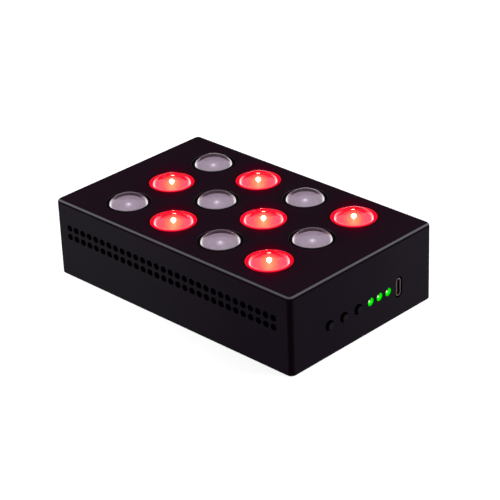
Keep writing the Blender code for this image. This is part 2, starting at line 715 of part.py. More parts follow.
def make_fan_frame():
    """The frame of the fan, with its round bore, its struts and the fixed half of the motor."""
    bm = bmesh.new()
    outline = round_corners(FAN_SIZE, FAN_SIZE, FAN_CORNER_RADIUS, INNER_CORNER_STEPS)
    extruded(bm, outline, "Z", 0, FAN_THICKNESS)
    frame = put("fan_frame", finished_mesh("fan_frame", bm), black_plastic(), (FAN_X, 0, FAN_UNDERSIDE))
    bore = bmesh.new()
    rod(bore, FAN_BORE_RADIUS, (0, 0, -OVERRUN), (0, 0, FAN_THICKNESS + OVERRUN), FAN_BORE_STEPS)
    for sx, sy in CORNERS:
        corner = (sx * FAN_HOLE_SPACING / 2, sy * FAN_HOLE_SPACING / 2)
        rod(bore, FAN_SCREW_RADIUS + GAP, (*corner, -OVERRUN), (*corner, FAN_THICKNESS + OVERRUN), LED_STEPS)
    struts = bmesh.new()
    half = FAN_STRUT_WIDTH / 2
    end = FAN_BORE_RADIUS + BOND
    outline = [(end, half), (half, half), (half, end), (-half, end), (-half, half), (-end, half), (-end, -half),
               (-half, -half), (-half, -end), (half, -end), (half, -half), (end, -half)]
    extruded(struts, outline, "Z", 0, FAN_PLATE_THICKNESS)
    motor = bmesh.new()
    shaft_top = FAN_THICKNESS - HUB_TOP_CLEARANCE - HUB_WALL - GAP
    plate = FAN_PLATE_THICKNESS
    stator_top = plate + STATOR_HEIGHT
    profile = [(0, 0), (HUB_RADIUS, 0), (HUB_RADIUS, plate),
               (STATOR_OUTER_RADIUS, plate), (STATOR_OUTER_RADIUS, stator_top),
               (STATOR_INNER_RADIUS, stator_top), (STATOR_INNER_RADIUS, plate),
               (FAN_SHAFT_RADIUS, plate), (FAN_SHAFT_RADIUS, shaft_top), (0, shaft_top)]
    turned(motor, profile, ROUND_STEPS)
    for name, shape, operation in (("fan_bore", bore, "DIFFERENCE"), ("fan_struts", struts, "UNION"),
                                   ("fan_motor", motor, "UNION")):
        tool = cutter(name, finished_mesh(name, shape))
        tool.location = frame.location
        combine(frame, tool, operation)


def blade(bm, number):
    """One twisted blade, from inside the hub's wall to near the bore."""
    root = HUB_RADIUS - BOND
    tip = FAN_BORE_RADIUS - BLADE_TIP_CLEARANCE
    half_chord = BLADE_CHORD / 2
    half_thick = BLADE_THICKNESS / 2
    verts = block(bm, (root, -half_chord, -half_thick), (tip, half_chord, half_thick))
    middle = (FAN_PLATE_THICKNESS + FAN_THICKNESS) / 2
    for vert in verts:
        inner = vert.co.x < (root + tip) / 2
        pitch = BLADE_ROOT_PITCH if inner else BLADE_TIP_PITCH
        if not inner:
            vert.co.x = math.sqrt(tip ** 2 - half_chord ** 2)
        vert.co = Matrix.Rotation(pitch, 4, "X") @ vert.co
        vert.co.z += middle
        vert.co = Matrix.Rotation(math.tau * number / BLADE_COUNT, 4, "Z") @ vert.co


def make_fan_rotor():
    """The turning half of the fan: a cup over the motor with its blades."""
    low = FAN_PLATE_THICKNESS + GAP
    high = FAN_THICKNESS - HUB_TOP_CLEARANCE
    roof = high - HUB_WALL
    bore = FAN_SHAFT_RADIUS + GAP
    cup = HUB_RADIUS - HUB_WALL
    profile = [(0, roof), (bore, roof), (bore, low), (HUB_BOSS_RADIUS, low), (HUB_BOSS_RADIUS, roof),
               (cup, roof), (cup, low), (HUB_RADIUS, low), (HUB_RADIUS, high), (0, high)]
    bm = bmesh.new()
    turned(bm, profile, FAN_BORE_STEPS)
    rotor = put("fan_rotor", finished_mesh("fan_rotor", bm), black_plastic(), (FAN_X, 0, FAN_UNDERSIDE))
    blades = bmesh.new()
    for number in range(BLADE_COUNT):
        blade(blades, number)
    tool = cutter("fan_blades", finished_mesh("fan_blades", blades))
    tool.location = rotor.location
    combine(rotor, tool, "UNION")


def make_fan_screws():
    """Two screws up through opposite corners of the fan, between the fins."""
    mesh = pan_screw("fan_screw", FAN_SCREW_RADIUS, FAN_THICKNESS + FAN_SCREW_REACH,
                     FAN_SCREW_RADIUS + FAN_HEAD_OVERHANG, FAN_HEAD_HEIGHT, FAN_SOCKET_RADIUS, FAN_SOCKET_DEPTH)
    steel = dark_steel()
    for number, side in enumerate((-1, 1), 1):
        reach = side * FAN_HOLE_SPACING / 2
        put(f"fan_screw_{number}", mesh, steel, (FAN_X + reach, reach, FAN_UNDERSIDE - GAP), smooth=True)


def make_battery():
    """A tray on the bottom cover with round cells side by side."""
    floor = TRAY_Z + TRAY_FLOOR
    bm = bmesh.new()
    block(bm, (TRAY_START_X, -TRAY_SIDE_Y, TRAY_Z), (TRAY_END_X, TRAY_SIDE_Y, TRAY_Z + TRAY_WALL_HEIGHT))
    tray = put("battery_tray", finished_mesh("battery_tray", bm), black_plastic())
    hollow = bmesh.new()
    inner_start = TRAY_START_X + TRAY_WALL
    inner_end = TRAY_END_X - TRAY_WALL
    inner_side = TRAY_SIDE_Y - TRAY_WALL
    mouth = TRAY_Z + TRAY_WALL_HEIGHT + OVERRUN
    half_rib = TRAY_RIB / 2
    rib_places = [(number - CELL_COUNT / 2) * CELL_PITCH for number in range(1, CELL_COUNT)]
    rib_top = floor + TRAY_RIB_HEIGHT
    outline = [(inner_side, mouth), (-inner_side, mouth), (-inner_side, floor)]
    for y in rib_places:
        left = y - half_rib
        right = y + half_rib
        outline += [(left, floor), (left, rib_top), (right, rib_top), (right, floor)]
    outline.append((inner_side, floor))
    extruded(hollow, outline, "X", inner_start, inner_end)
    combine(tray, cutter("tray_hollow", finished_mesh("tray_hollow", hollow)), "DIFFERENCE")
    cell = bmesh.new()
    shoulder = CELL_LENGTH - CELL_NUB_HEIGHT
    turned(cell, [(0, 0), (CELL_RADIUS, 0), (CELL_RADIUS, shoulder), (CELL_NUB_RADIUS, shoulder),
                  (CELL_NUB_RADIUS, CELL_LENGTH), (0, CELL_LENGTH)], CELL_STEPS)
    mesh = finished_mesh("battery_cell", cell)
    wrap = cell_wrap()
    for number in range(CELL_COUNT):
        y = (number - (CELL_COUNT - 1) / 2) * CELL_PITCH
        put(f"battery_cell_{number + 1}", mesh, wrap, (inner_start + GAP, y, CELL_Z), TOWARDS_X, smooth=True)


def make_control_board():
    """The board that stands behind the end wall, with its ends in the guides of the case."""
    bm = bmesh.new()
    block(bm, (BOARD_BACK_X, -BOARD_SIDE_Y, TRAY_Z), (BOARD_FACE_X, BOARD_SIDE_Y, BOARD_TOP))
    put("control_board", finished_mesh("control_board", bm), green_board())


def make_board_link():
    """The connector block that stands on the control board and meets the tab of the light board."""
    bm = bmesh.new()
    block(bm, (LINK_X - LINK_WIDTH / 2, LINK_Y - LINK_LENGTH / 2, BOARD_TOP + GAP),
          (LINK_X + LINK_WIDTH / 2, LINK_Y + LINK_LENGTH / 2, LED_BOARD_UNDERSIDE - GAP))
    put("board_link", finished_mesh("board_link", bm), black_plastic())


def make_buttons():
    """Three push buttons, each with its switch. A button's own origin is on its line of travel."""
    flange_outer = -WALL - GAP
    flange_inner = flange_outer - BUTTON_FLANGE_THICKNESS
    flange_radius = BUTTON_HOLE_RADIUS + BUTTON_FLANGE_OVERHANG
    switch_face = BOARD_FACE_X + GAP + SWITCH_DEPTH
    stem_end = switch_face - STEM_ENGAGEMENT - END_X
    bm = bmesh.new()
    profile = [(0, stem_end), (BUTTON_STEM_RADIUS, stem_end), (BUTTON_STEM_RADIUS, flange_inner),
               (flange_radius, flange_inner), (flange_radius, flange_outer),
               (BUTTON_RADIUS, flange_outer), (BUTTON_RADIUS, BUTTON_PROUD - BUTTON_EDGE),
               (BUTTON_RADIUS - BUTTON_EDGE, BUTTON_PROUD), (0, BUTTON_PROUD)]
    turned(bm, profile, ROUND_STEPS)
    cap = finished_mesh("button", bm)
    switch = bmesh.new()
    half = SWITCH_SIZE / 2
    block(switch, (0, -half, -half), (SWITCH_DEPTH, half, half))
    bore = bmesh.new()
    bore_end = SWITCH_DEPTH - STEM_ENGAGEMENT - BUTTON_TRAVEL - GAP
    rod(bore, BUTTON_STEM_RADIUS + GAP, (bore_end, 0, 0), (SWITCH_DEPTH + OVERRUN, 0, 0), ROUND_STEPS)
    body = finished_mesh("switch", switch)
    bore_mesh = finished_mesh("switch_bore", bore)
    plastic = black_plastic()
    for name, number, y in zip(("power", "red", "infrared"), range(1, BUTTON_COUNT + 1), button_places()):
        put(f"{name}_button", cap, plastic, (END_X, y, CONTROL_HEIGHT), TOWARDS_X, smooth=True)
        housing = put(f"switch_{number}", body, plastic, (BOARD_FACE_X + GAP, y, CONTROL_HEIGHT))
        tool = cutter(f"switch_bore_{number}", bore_mesh)
        tool.location = housing.location
        combine(housing, tool, "DIFFERENCE")


def make_status_lights():
    """Clear rods that carry the green light from the control board to the end wall."""
    shoulder = END_X - LIGHT_RECESS - LIGHT_DOME_HEIGHT - BOARD_FACE_X - GAP
    foot = LIGHT_PIPE_RADIUS + LIGHT_FOOT_OVERHANG
    bm = bmesh.new()
    profile = [(0, 0), (foot, 0), (foot, LIGHT_FOOT_HEIGHT), (LIGHT_PIPE_RADIUS, LIGHT_FOOT_HEIGHT)]
    profile += dome_profile(LIGHT_PIPE_RADIUS, shoulder, LIGHT_DOME_HEIGHT)
    turned(bm, profile, ROUND_STEPS)
    mesh = finished_mesh("status_light", bm)
    glow = green_light()
    for number, y in enumerate(light_places(), 1):
        place = (BOARD_FACE_X + GAP, y, CONTROL_HEIGHT)
        put(f"status_light_{number}", mesh, glow, place, TOWARDS_X, smooth=True)


def make_charging_port():
    """An upright receptacle: a metal sleeve, and inside it the tongue that carries the contacts."""
    start = BOARD_FACE_X + GAP
    front = END_X - PORT_RECESS
    bm = bmesh.new()
    extruded(bm, moved_outline(port_outline(0), PORT_Y, PORT_HEIGHT), "X", start, front)
    sleeve = put("port_sleeve", finished_mesh("port_sleeve", bm), port_steel())
    bore = bmesh.new()
    extruded(bore, moved_outline(port_outline(-PORT_WALL), PORT_Y, PORT_HEIGHT), "X", start - OVERRUN,
             front + OVERRUN)
    combine(sleeve, cutter("port_bore", finished_mesh("port_bore", bore)), "DIFFERENCE")
    tongue = bmesh.new()
    base_end = start + PORT_BASE_DEPTH
    extruded(tongue, moved_outline(port_outline(-PORT_WALL - GAP), PORT_Y, PORT_HEIGHT), "X", start, base_end)
    core = put("port_tongue", finished_mesh("port_tongue", tongue), black_plastic())
    blade_mesh = bmesh.new()
    half_wide = PORT_TONGUE_THICKNESS / 2
    half_tall = PORT_TALL / 2 - PORT_WALL - PORT_TONGUE_CLEARANCE
    block(blade_mesh, (base_end - BOND, PORT_Y - half_wide, PORT_HEIGHT - half_tall),
          (front - PORT_TONGUE_SETBACK, PORT_Y + half_wide, PORT_HEIGHT + half_tall))
    combine(core, cutter("tongue_blade", finished_mesh("tongue_blade", blade_mesh)), "UNION")


def corners_cut(points):
    """A route whose every corner is cut off, and whose two ends stay."""
    cut = [points[0]]
    for near, far in zip(points, points[1:]):
        cut.append(near.lerp(far, CORNER_CUT_SHARE))
        cut.append(near.lerp(far, 1 - CORNER_CUT_SHARE))
    return cut + [points[-1]]


def lead(name, knots):
    """An insulated lead on a smooth curve, whose ends run straight, square to what they meet."""
    points = [Vector(knot) for knot in knots]
    for _ in range(LEAD_SMOOTHINGS):
        points = corners_cut(points)
    curve = bpy.data.curves.new(name, "CURVE")
    curve.dimensions = "3D"
    curve.bevel_depth = LEAD_RADIUS
    curve.bevel_resolution = 2
    curve.use_fill_caps = True
    spline = curve.splines.new("POLY")
    spline.points.add(len(points) - 1)
    for point, place in zip(spline.points, points):
        point.co = (*place, 1)
    curve.materials.append(lead_rubber())
    obj = bpy.data.objects.new(name, curve)
    bpy.context.scene.collection.objects.link(obj)


def make_leads():
    """The battery's lead and the fan's lead, both to the back of the control board."""
    back = BOARD_BACK_X - GAP
    start = TRAY_END_X + GAP
    y = BATTERY_LEAD_Y
    height = TRAY_Z + TRAY_WALL_HEIGHT * BATTERY_LEAD_HEIGHT_SHARE
    lead("battery_lead", [(start, y, height), (start + LEAD_STRAIGHT_END, y, height),
                          ((start + back) / 2, y, height - BATTERY_LEAD_SAG),
                          (back - LEAD_STRAIGHT_END, y, height), (back, y, height)])
    near = FAN_SIZE / 2 + GAP
    side = (TRAY_SIDE_Y + INNER_SIDE_Y) / 2
    beside_guide = INNER_SIDE_Y - GUIDE_REACH - GAP - 2 * LEAD_RADIUS
    height = FAN_UNDERSIDE + FAN_THICKNESS * FAN_LEAD_HEIGHT_SHARE
    lead("fan_lead", [(FAN_X, near, height), (FAN_X, side, height), (TRAY_START_X, side, height),
                      (TRAY_END_X - TRAY_SETBACK, side, height),
                      (back - LEAD_STRAIGHT_END, beside_guide, height), (back, beside_guide, height)])


def main():
    clear_scene()
    make_housing()
    make_bottom_cover()
    make_cover_screws()
    make_lights()
    make_lens_holder()
    make_led_board()
    make_heat_sink()
    make_sink_screws()
    make_fan_frame()
    make_fan_rotor()
    make_fan_screws()
    make_battery()
    make_control_board()
    make_board_link()
    make_buttons()
    make_status_lights()
    make_charging_port()
    make_leads()


main()
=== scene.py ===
"""The looks of a portable light therapy panel.

Everything is in metres, in the frame of the solids: +X to the end with the buttons and the charging
port, +Z up out of the windows. Places come from the solids' own boxes.
"""
import math

import bmesh
import bpy
from mathutils import Matrix, Vector


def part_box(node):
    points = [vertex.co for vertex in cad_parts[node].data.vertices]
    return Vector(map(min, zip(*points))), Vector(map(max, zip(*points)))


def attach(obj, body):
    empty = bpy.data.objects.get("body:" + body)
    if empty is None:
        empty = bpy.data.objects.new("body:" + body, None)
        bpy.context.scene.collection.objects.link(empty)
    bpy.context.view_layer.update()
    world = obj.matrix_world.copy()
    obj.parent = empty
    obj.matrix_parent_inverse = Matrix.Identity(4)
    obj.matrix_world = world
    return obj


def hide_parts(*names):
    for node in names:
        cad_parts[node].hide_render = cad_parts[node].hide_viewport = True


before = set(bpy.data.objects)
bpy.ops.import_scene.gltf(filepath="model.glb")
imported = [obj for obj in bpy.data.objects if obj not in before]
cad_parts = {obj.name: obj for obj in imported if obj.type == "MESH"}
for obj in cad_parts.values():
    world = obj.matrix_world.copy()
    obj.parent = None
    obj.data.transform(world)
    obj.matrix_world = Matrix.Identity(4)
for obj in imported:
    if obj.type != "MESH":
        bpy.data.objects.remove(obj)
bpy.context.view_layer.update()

# Clearances and fineness shared by the pieces
GAP = 0.0003
OVERRUN = 0.0004
BOND = 0.0004
MERGE_DISTANCE = 0.000001
SMOOTH_ANGLE = math.radians(40)

# Case and cover
WALL = 0.0020
CORNER_RADIUS = 0.0026
TOP_EDGE_RADIUS = 0.0019
BOTTOM_EDGE_RADIUS = 0.0004
INNER_CORNER_RADIUS = 0.0008
BORE_SHADE_ROUNDING = 0.0022
BORE_SHADE_DEPTHS = (0.00018, 0.00032)
NEAR_CORNER_SHADE = 0.11
COVER_EDGE_RADIUS = 0.0002
WINDOW_RADIUS = 0.01045
WINDOW_ROUND = 0.00025
VENT_RADIUS = 0.0016
VENT_ROUND = 0.00015
VENT_PITCH = 0.0045
VENT_COUNT = 30
VENT_MIDDLE_X = -0.0006
VENT_HEIGHTS = (0.02115, 0.02565)
POST_SIZE = 0.0076
POST_TOP = 0.0165
POST_BORE_DEPTH = 0.0110
BOSS_RADIUS = 0.0034
BOSS_BORE_ROOF = 0.0012
SCREW_BORE_RADIUS = 0.0018
GUIDE_REACH = 0.0030
GUIDE_THICKNESS = 0.0013
GUIDE_TOP = 0.0180

# Lenses and what lies under them
LENS_RADIUS = 0.00885
LENS_SKIRT_HEIGHT = 0.0055
DOME_FLATNESS = 0.6
DOME_STEPS = 24
FLANGE_HEIGHT = 0.0012
PAD_RADIUS = 0.0070
PAD_WALL = 0.0005
PAD_HEIGHT = 0.0034
PAD_WANDER = 0.0030
PAD_SHIFT = 0.0005
PAD_EDGE_SHARES = (0.80, 0.92)
SPARKLE_REACH = (0.0010, 0.0045)
UNLIT_GLOW_REACH = 0.0018
GLINT_STRENGTH = 0.7
GLINT_RIM_WIDTH = 0.0006
GLINT_RIM_DEPTH = 0.0012
GLINT_RIM_CLEARANCE = GAP / 6
CHIP_SIZES = {"red": (0.0010, 0.0024), "infrared": (0.0004, 0.0002)}
CHIP_NECK = 0.15
BOND_BAR = (0.0009, 0.0001, 0.0001)
BOND_BAR_OFFSET = 0.0064
BOND_BAR_DROP = 0.0020
HOLDER_RIM = 0.0020
COLLAR_WIDTH = 0.0006
COLLAR_BELOW_TOP = 0.0002

# Screws
SCREW_RADIUS = 0.0015
THREAD_PITCH = 0.0005
THREAD_DEPTH = 0.00015
HEAD_EDGE = 0.00025
SOCKET_DEPTH = 0.0009
SOCKET_RADIUS = 0.0011
COVER_HEAD_RADIUS = 0.0028
COVER_HEAD_HEIGHT = 0.0013
COVER_HEAD_RECESS = 0.0002
COUNTERSINK_CLEARANCE = 0.00045
SINK_HEAD_HEIGHT = 0.0019
FAN_HEAD_HEIGHT = 0.0016
FAN_SCREW_RADIUS = 0.001767

# Controls
CONTROL_ROUND = 0.00015
BUTTON_HOLE_RADIUS = 0.0025
BUTTON_RADIUS = 0.0019
BUTTON_EDGE = 0.00075
BUTTON_DISH = 0.00008
BUTTON_FLANGE_RADIUS = 0.0033
BUTTON_FLANGE_THICKNESS = 0.0010
BUTTON_STEM_RADIUS = 0.0011
SWITCH_PLATE = 0.0003
SWITCH_PLATE_INSET = 0.0004
SWITCH_EDGE = 0.00025
RIVET_RADIUS = 0.0004
LIGHT_HOLE_RADIUS = 0.0020
LIGHT_RADIUS = 0.0017
LIGHT_DOME_HEIGHT = 0.0010
LIGHT_FOOT_HEIGHT = 0.0010
GREEN_WALL_TOP = (0.0006, 0.0012)
HOT_SPOT_PLACE = (-0.00075, 0.00042)
HOT_SPOT_REACH = 0.0012
NOTCH_HEIGHTS = (0.0006, 0.0010)
SLOT_WIDTHS = (0.0002, 0.0004)
SLOT_RISE = 0.0003
SLOT_SLANT = -0.2
PORT_OPENING_CLEARANCE = 0.0008
PORT_WALL = 0.00055
PORT_BASE_DEPTH = 0.0045
TONGUE_WIDE = 0.0007
TONGUE_TALL = 0.0067
CONTACT_COUNT = 12
CONTACT_WIDTH = 0.00026
CONTACT_LENGTH = 0.0022
CONTACT_THICKNESS = 0.00005

# Fan
FAN_CORNER_RADIUS = 0.0030
FAN_EDGE = 0.0003
FAN_BORE_RADIUS = 0.0190
FAN_HOLE_REACH = 0.0160
FAN_PLATE = 0.0012
FAN_STRUT_WIDTH = 0.0020
HUB_RADIUS = 0.0086
HUB_WALL = 0.0011
HUB_ROUND = 0.0010
HUB_TOP_CLEARANCE = 0.0008
HUB_BOSS_RADIUS = 0.0027
SHAFT_RADIUS = 0.0012
STATOR_RADII = (0.0039, 0.0063)
STATOR_HEIGHT = 0.0040
BLADE_COUNT = 7
BLADE_CHORD = 0.0085
BLADE_CAMBER = 0.0008
BLADE_THICKNESS = 0.0008
BLADE_TIP_CLEARANCE = 0.0006
BLADE_PITCHES = (math.radians(48), math.radians(30))

# Battery and leads
CELL_ROUND = 0.0006
CELL_GROOVE = 0.0003
CELL_GROOVE_PLACE = 0.0035
CELL_NUB_RADIUS = 0.0030
CELL_NUB_HEIGHT = 0.0008
SLEEVE_EDGE = 0.0001
LEAD_RADIUS = 0.0011
LEAD_STRAIGHT_END = 0.0022
LEAD_SAG = 0.0016
LEAD_SMOOTHINGS = 4
CORNER_CUT_SHARE = 0.25
BATTERY_LEAD_Z = 0.0100
FAN_LEAD_Z = 0.0150
FAN_LEAD_EXIT_Y = 0.0203
FAN_LEAD_WALL_Y = 0.03778
FAN_LEAD_END_Y = 0.03935
FAN_LEAD_WALL_X = (-0.01285, 0.04815)

# Small parts on the boards: sizes on the light board, and depths behind the control board
CHIP_EDGE = 0.0001
DRIVER_SIZE = (0.0030, 0.0030, 0.0009)
RESISTOR_OFFSET = 0.0034
RESISTOR_SIZE = (0.0008, 0.0016, 0.0005)
RESISTOR_END_SIZE = (0.0008, 0.0003, 0.00052)
RESISTOR_END_OFFSET = 0.00085
BACK_CHIP_DEPTH = 0.0010
BACK_CHIPS = ((-0.0300, 0.0140, 0.0070, 0.0070), (-0.0150, 0.0180, 0.0050, 0.0050),
              (0.0000, 0.0185, 0.0040, 0.0030), (0.0240, 0.0190, 0.0060, 0.0040))
LEG_COUNT = 5
LEG_SIZE = (0.0003, 0.0004, 0.0008)
TINNED_RING_RADII = (0.0030, 0.0031)
PIN_COUNT = 8
PIN_WIDTH = 0.0006
PIN_TOP_CLEARANCE = 0.0008

# Camera at the photograph's viewing angle, and the studio
CAMERA_PLACE = (0.56856, -0.56383, 0.43478)
CAMERA_TURN = (62.468, 1.9526, 43.9414)
CAMERA_LENS = 140.6
CAMERA_NEAR = 0.01
SENSOR_WIDTH = 36.0
SIGHT_ANGLE = math.radians(CAMERA_TURN[2])
ACROSS_SIGHT = Vector((math.cos(SIGHT_ANGLE), math.sin(SIGHT_ANGLE), 0))
ALONG_SIGHT = Vector((-math.sin(SIGHT_ANGLE), math.cos(SIGHT_ANGLE), 0))
SIGHT_SQUASH = 0.6
RED_HALOS = ((0.080, 0.0010), (0.032, 0.0026))
HALO_SATURATION = 60
PANEL_DISTANCE = 0.9
PANEL_WIDTH = 1.3
PANEL_HEIGHT = 1.5
FLOOR_GAP = 0.0001
FLOOR_REACH = 6
LAMPS = {"left_softbox": ((-0.28, -0.30, 0.16), (0.2, 0.2), 1.6),
         "right_softbox": ((0.42, 0.32, 0.24), (0.3, 0.3), 2.8),
         "rear_strip": ((0.10, 0.95, 0.20), (0.9, 0.25), 3)}

# Colours used in more than one finish
RED_GLOW = (1.0, 0.0, 0.02)
GREEN_GLOW = (0.0, 0.85, 0.0)
COAT_SHINE = 0.004


def numbered(stem, count):
    """The names of a row of solids."""
    return [f"{stem}_{number}" for number in range(1, count + 1)]


RED_LENSES = numbered("red_lens", 6)
CLEAR_LENSES = numbered("infrared_lens", 6)
BUTTON_BODIES = {"power_button": "power_key", "red_button": "red_key", "infrared_button": "infrared_key"}
STATUS_LIGHTS = numbered("status_light", 3)
SWITCHES = numbered("switch", 3)
SINK_SCREWS = numbered("sink_screw", 4)
COVER_SCREWS = numbered("cover_screw", 4)
FAN_SCREWS = numbered("fan_screw", 2)
CELLS = numbered("battery_cell", 3)
CORNERS = [(sx, sy) for sx in (-1, 1) for sy in (-1, 1)]

case_low, case_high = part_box("housing")
cover_low, cover_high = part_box("bottom_cover")
holder_low, holder_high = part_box("lens_holder")
led_board_low, led_board_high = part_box("led_board")
control_board_low, control_board_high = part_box("control_board")
top_underside = holder_high.z + GAP


def middle_of(node):
    """The middle of a solid's box."""
    low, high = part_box(node)
    return (low + high) / 2


# What a finish's nodes work out

class Reading:
    """A number, colour or place that nodes work out at each point of a surface, with plain arithmetic."""

    def __init__(self, socket):
        self.socket = socket

    def __add__(self, other):
        return calc("ADD", self, other)

    def __sub__(self, other):
        return calc("SUBTRACT", self, other)

    def __rsub__(self, other):
        return calc("SUBTRACT", other, self)

    def __mul__(self, other):
        return calc("MULTIPLY", self, other)

    def __truediv__(self, other):
        return calc("DIVIDE", self, other)

    def __abs__(self):
        return calc("ABSOLUTE", self)


def feed(socket, value):
    """Link a reading to a socket, or write a plain value on it."""
    if isinstance(value, Reading):
        socket.id_data.links.new(value.socket, socket)
    elif isinstance(value, tuple) and socket.type == "RGBA":
        socket.default_value = (*value, 1)
    else:
        socket.default_value = value


def read(tree, kind, output, inputs, **settings):
    """Add a node, set it up, feed its inputs and give one of its outputs."""
    node = tree.nodes.new("ShaderNode" + kind)
    for name, value in settings.items():
        setattr(node, name, value)
    for key, value in inputs.items():
        feed(node.inputs[key], value)
    return Reading(node.outputs[output])


def tree_of(*values):
    """The node tree that some readings belong to."""
    return next(value.socket.id_data for value in values if isinstance(value, Reading))


def calc(operation, *values):
    """A sum on plain numbers."""
    return read(tree_of(*values), "Math", "Value", dict(enumerate(values)), operation=operation)


def vector(operation, *values):
    """A sum on places or directions."""
    output = "Value" if operation in ("LENGTH", "DISTANCE", "DOT_PRODUCT") else "Vector"
    return read(tree_of(*values), "VectorMath", output, dict(enumerate(values)), operation=operation)


def place_on_piece(tree, scale=(1, 1, 1)):
    """The place on the piece, in metres, or stretched for a pattern that runs one way."""
    place = read(tree, "TexCoord", "Object", {})
    return read(tree, "Mapping", "Vector", {"Vector": place, "Scale": scale})


def parts_of(value):
    """The X, Y and Z of a place or direction."""
    node = tree_of(value).nodes.new("ShaderNodeSeparateXYZ")
    feed(node.inputs["Vector"], value)
    return [Reading(output) for output in node.outputs]


def geometry(tree, name):
    """What the surface itself says, such as the direction that it faces."""
    return read(tree, "NewGeometry", name, {})


def sideways(tree):
    """How much the surface faces left or right, across the line of sight at rest."""
    return abs(vector("DOT_PRODUCT", geometry(tree, "Normal"), ACROSS_SIGHT))


def noise(tree, scale, detail, stretch=(1, 1, 1)):
    """A cloudy pattern from 0 to 1."""
    inputs = {"Vector": place_on_piece(tree, stretch), "Scale": scale, "Detail": detail}
    return read(tree, "TexNoise", "Fac", inputs)


def ramp(factor, *stops):
    """Colours along a factor."""
    node = tree_of(factor).nodes.new("ShaderNodeValToRGB")
    elements = node.color_ramp.elements
    while len(elements) < len(stops):
        elements.new(1)
    for element, (position, colour) in zip(elements, stops):
        element.position = position
        element.color = (*colour, 1)
    feed(node.inputs["Fac"], factor)
    return Reading(node.outputs["Color"])


def between(pattern, first, second, low=0.3, high=0.7):
    """A pattern's two colours."""
    return ramp(pattern, (low, first), (high, second))


def spread(value, low, high, to_low=0.0, to_high=1.0):
    """Map a value smoothly from one range to another, held at its ends."""
    inputs = {"Value": value, "From Min": low, "From Max": high, "To Min": to_low, "To Max": to_high}
    return read(tree_of(value), "MapRange", "Result", inputs, interpolation_type="SMOOTHSTEP")


def fade(value, low, high, strength=1.0):
    """A strength that falls to nothing as a value goes from low to high."""
    return spread(value, low, high, strength, 0.0)


def clouded(tree, scale, detail, low, high):
    """A roughness that wanders between two values."""
    return spread(noise(tree, scale, detail), 0.3, 0.7, low, high)


def blended(factor, first, second):
    """Mix two colours."""
    node = tree_of(factor).nodes.new("ShaderNodeMix")
    node.data_type = "RGBA"
    inputs = [socket for socket in node.inputs if socket.enabled]
    for socket, value in zip(inputs, (factor, first, second)):
        feed(socket, value)
    return Reading([socket for socket in node.outputs if socket.enabled][0])


# Finishes

def new_finish(name):
    """A new material, its nodes and its shader."""
    material = bpy.data.materials.new(name)
    material.use_nodes = True
    return material, material.node_tree, material.node_tree.nodes["Principled BSDF"]


def shade(shader, **values):
    """Set the shader's colour, roughness and so on, by their names with underscores for spaces."""
    for name, value in values.items():
        feed(shader.inputs[name.replace("_", " ")], value)


def relief(shader, height, strength, distance):
    """A fine relief from a pattern."""
    inputs = {"Height": height, "Strength": strength, "Distance": distance}
    shade(shader, Normal=read(shader.id_data, "Bump", "Normal", inputs))


def distance_to_nearest(tree, names, squash=1.0, shift=0.0):
    """The level distance to the nearest of some solids' upright middle lines.

    It can count less along the line of sight, or from points moved along that line.
    """
    place = place_on_piece(tree)
    across = vector("DOT_PRODUCT", place, ACROSS_SIGHT)
    along = vector("DOT_PRODUCT", place, ALONG_SIGHT * squash)
    flat = read(tree, "CombineXYZ", "Vector", {"X": across, "Y": along})
    nearest = 1.0
    for name in names:
        middle = middle_of(name)
        centre = (middle.dot(ACROSS_SIGHT), (middle.dot(ALONG_SIGHT) + shift) * squash, 0)
        nearest = calc("MINIMUM", vector("DISTANCE", flat, centre), nearest)
    return nearest


def red_halo(tree):
    """The faint red light on the plate before and behind each lit window."""
    from_window = distance_to_nearest(tree, RED_LENSES, SIGHT_SQUASH) - WINDOW_RADIUS * SIGHT_SQUASH
    from_window = calc("MAXIMUM", from_window, 0.0)
    halo = 0.0
    for strength, reach in RED_HALOS:
        halo = calc("EXPONENT", from_window / -reach) * strength + halo
    return halo


def red_light(tree):
    """How strongly the red light falls: full in the bores of the lit windows, faint on the plate."""
    distance = distance_to_nearest(tree, RED_LENSES)
    wall = fade(distance, WINDOW_RADIUS + WINDOW_ROUND / 2, WINDOW_RADIUS + WINDOW_ROUND)
    height = parts_of(place_on_piece(tree))[2]
    return (wall + red_halo(tree)) * spread(height, led_board_low.z - GAP, led_board_low.z)


def green_light(tree):
    """How strongly the green light falls: full on the walls of the holes for the status lights."""
    place = vector("MULTIPLY", place_on_piece(tree), (0, 1, 1))
    nearest = 1.0
    for name in STATUS_LIGHTS:
        middle = middle_of(name)
        nearest = calc("MINIMUM", vector("DISTANCE", place, (0, middle.y, middle.z)), nearest)
    near = fade(nearest, LIGHT_HOLE_RADIUS + CONTROL_ROUND / 8, LIGHT_HOLE_RADIUS + CONTROL_ROUND / 2)
    x, _, z = parts_of(place_on_piece(tree))
    inner = case_high.x - WALL
    depth = calc("MINIMUM", spread(x, inner, inner + GAP), fade(x, case_high.x - 2 * GAP, case_high.x - GAP))
    return near * depth * fade(z - middle_of(STATUS_LIGHTS[0]).z, *GREEN_WALL_TOP)


def outside_unshaded(tree):
    """One on the outside of the case, and zero from a little under it, so that bores and gaps get painted
    black shade.
    """
    half = (case_high - case_low) / 2 - Vector((BORE_SHADE_ROUNDING,) * 3)
    folded = vector("ABSOLUTE", vector("SUBTRACT", place_on_piece(tree), (case_low + case_high) / 2))
    beyond = vector("MAXIMUM", vector("SUBTRACT", folded, half), (0, 0, 0))
    return spread(vector("LENGTH", beyond), *(BORE_SHADE_ROUNDING - depth for depth in reversed(BORE_SHADE_DEPTHS)))


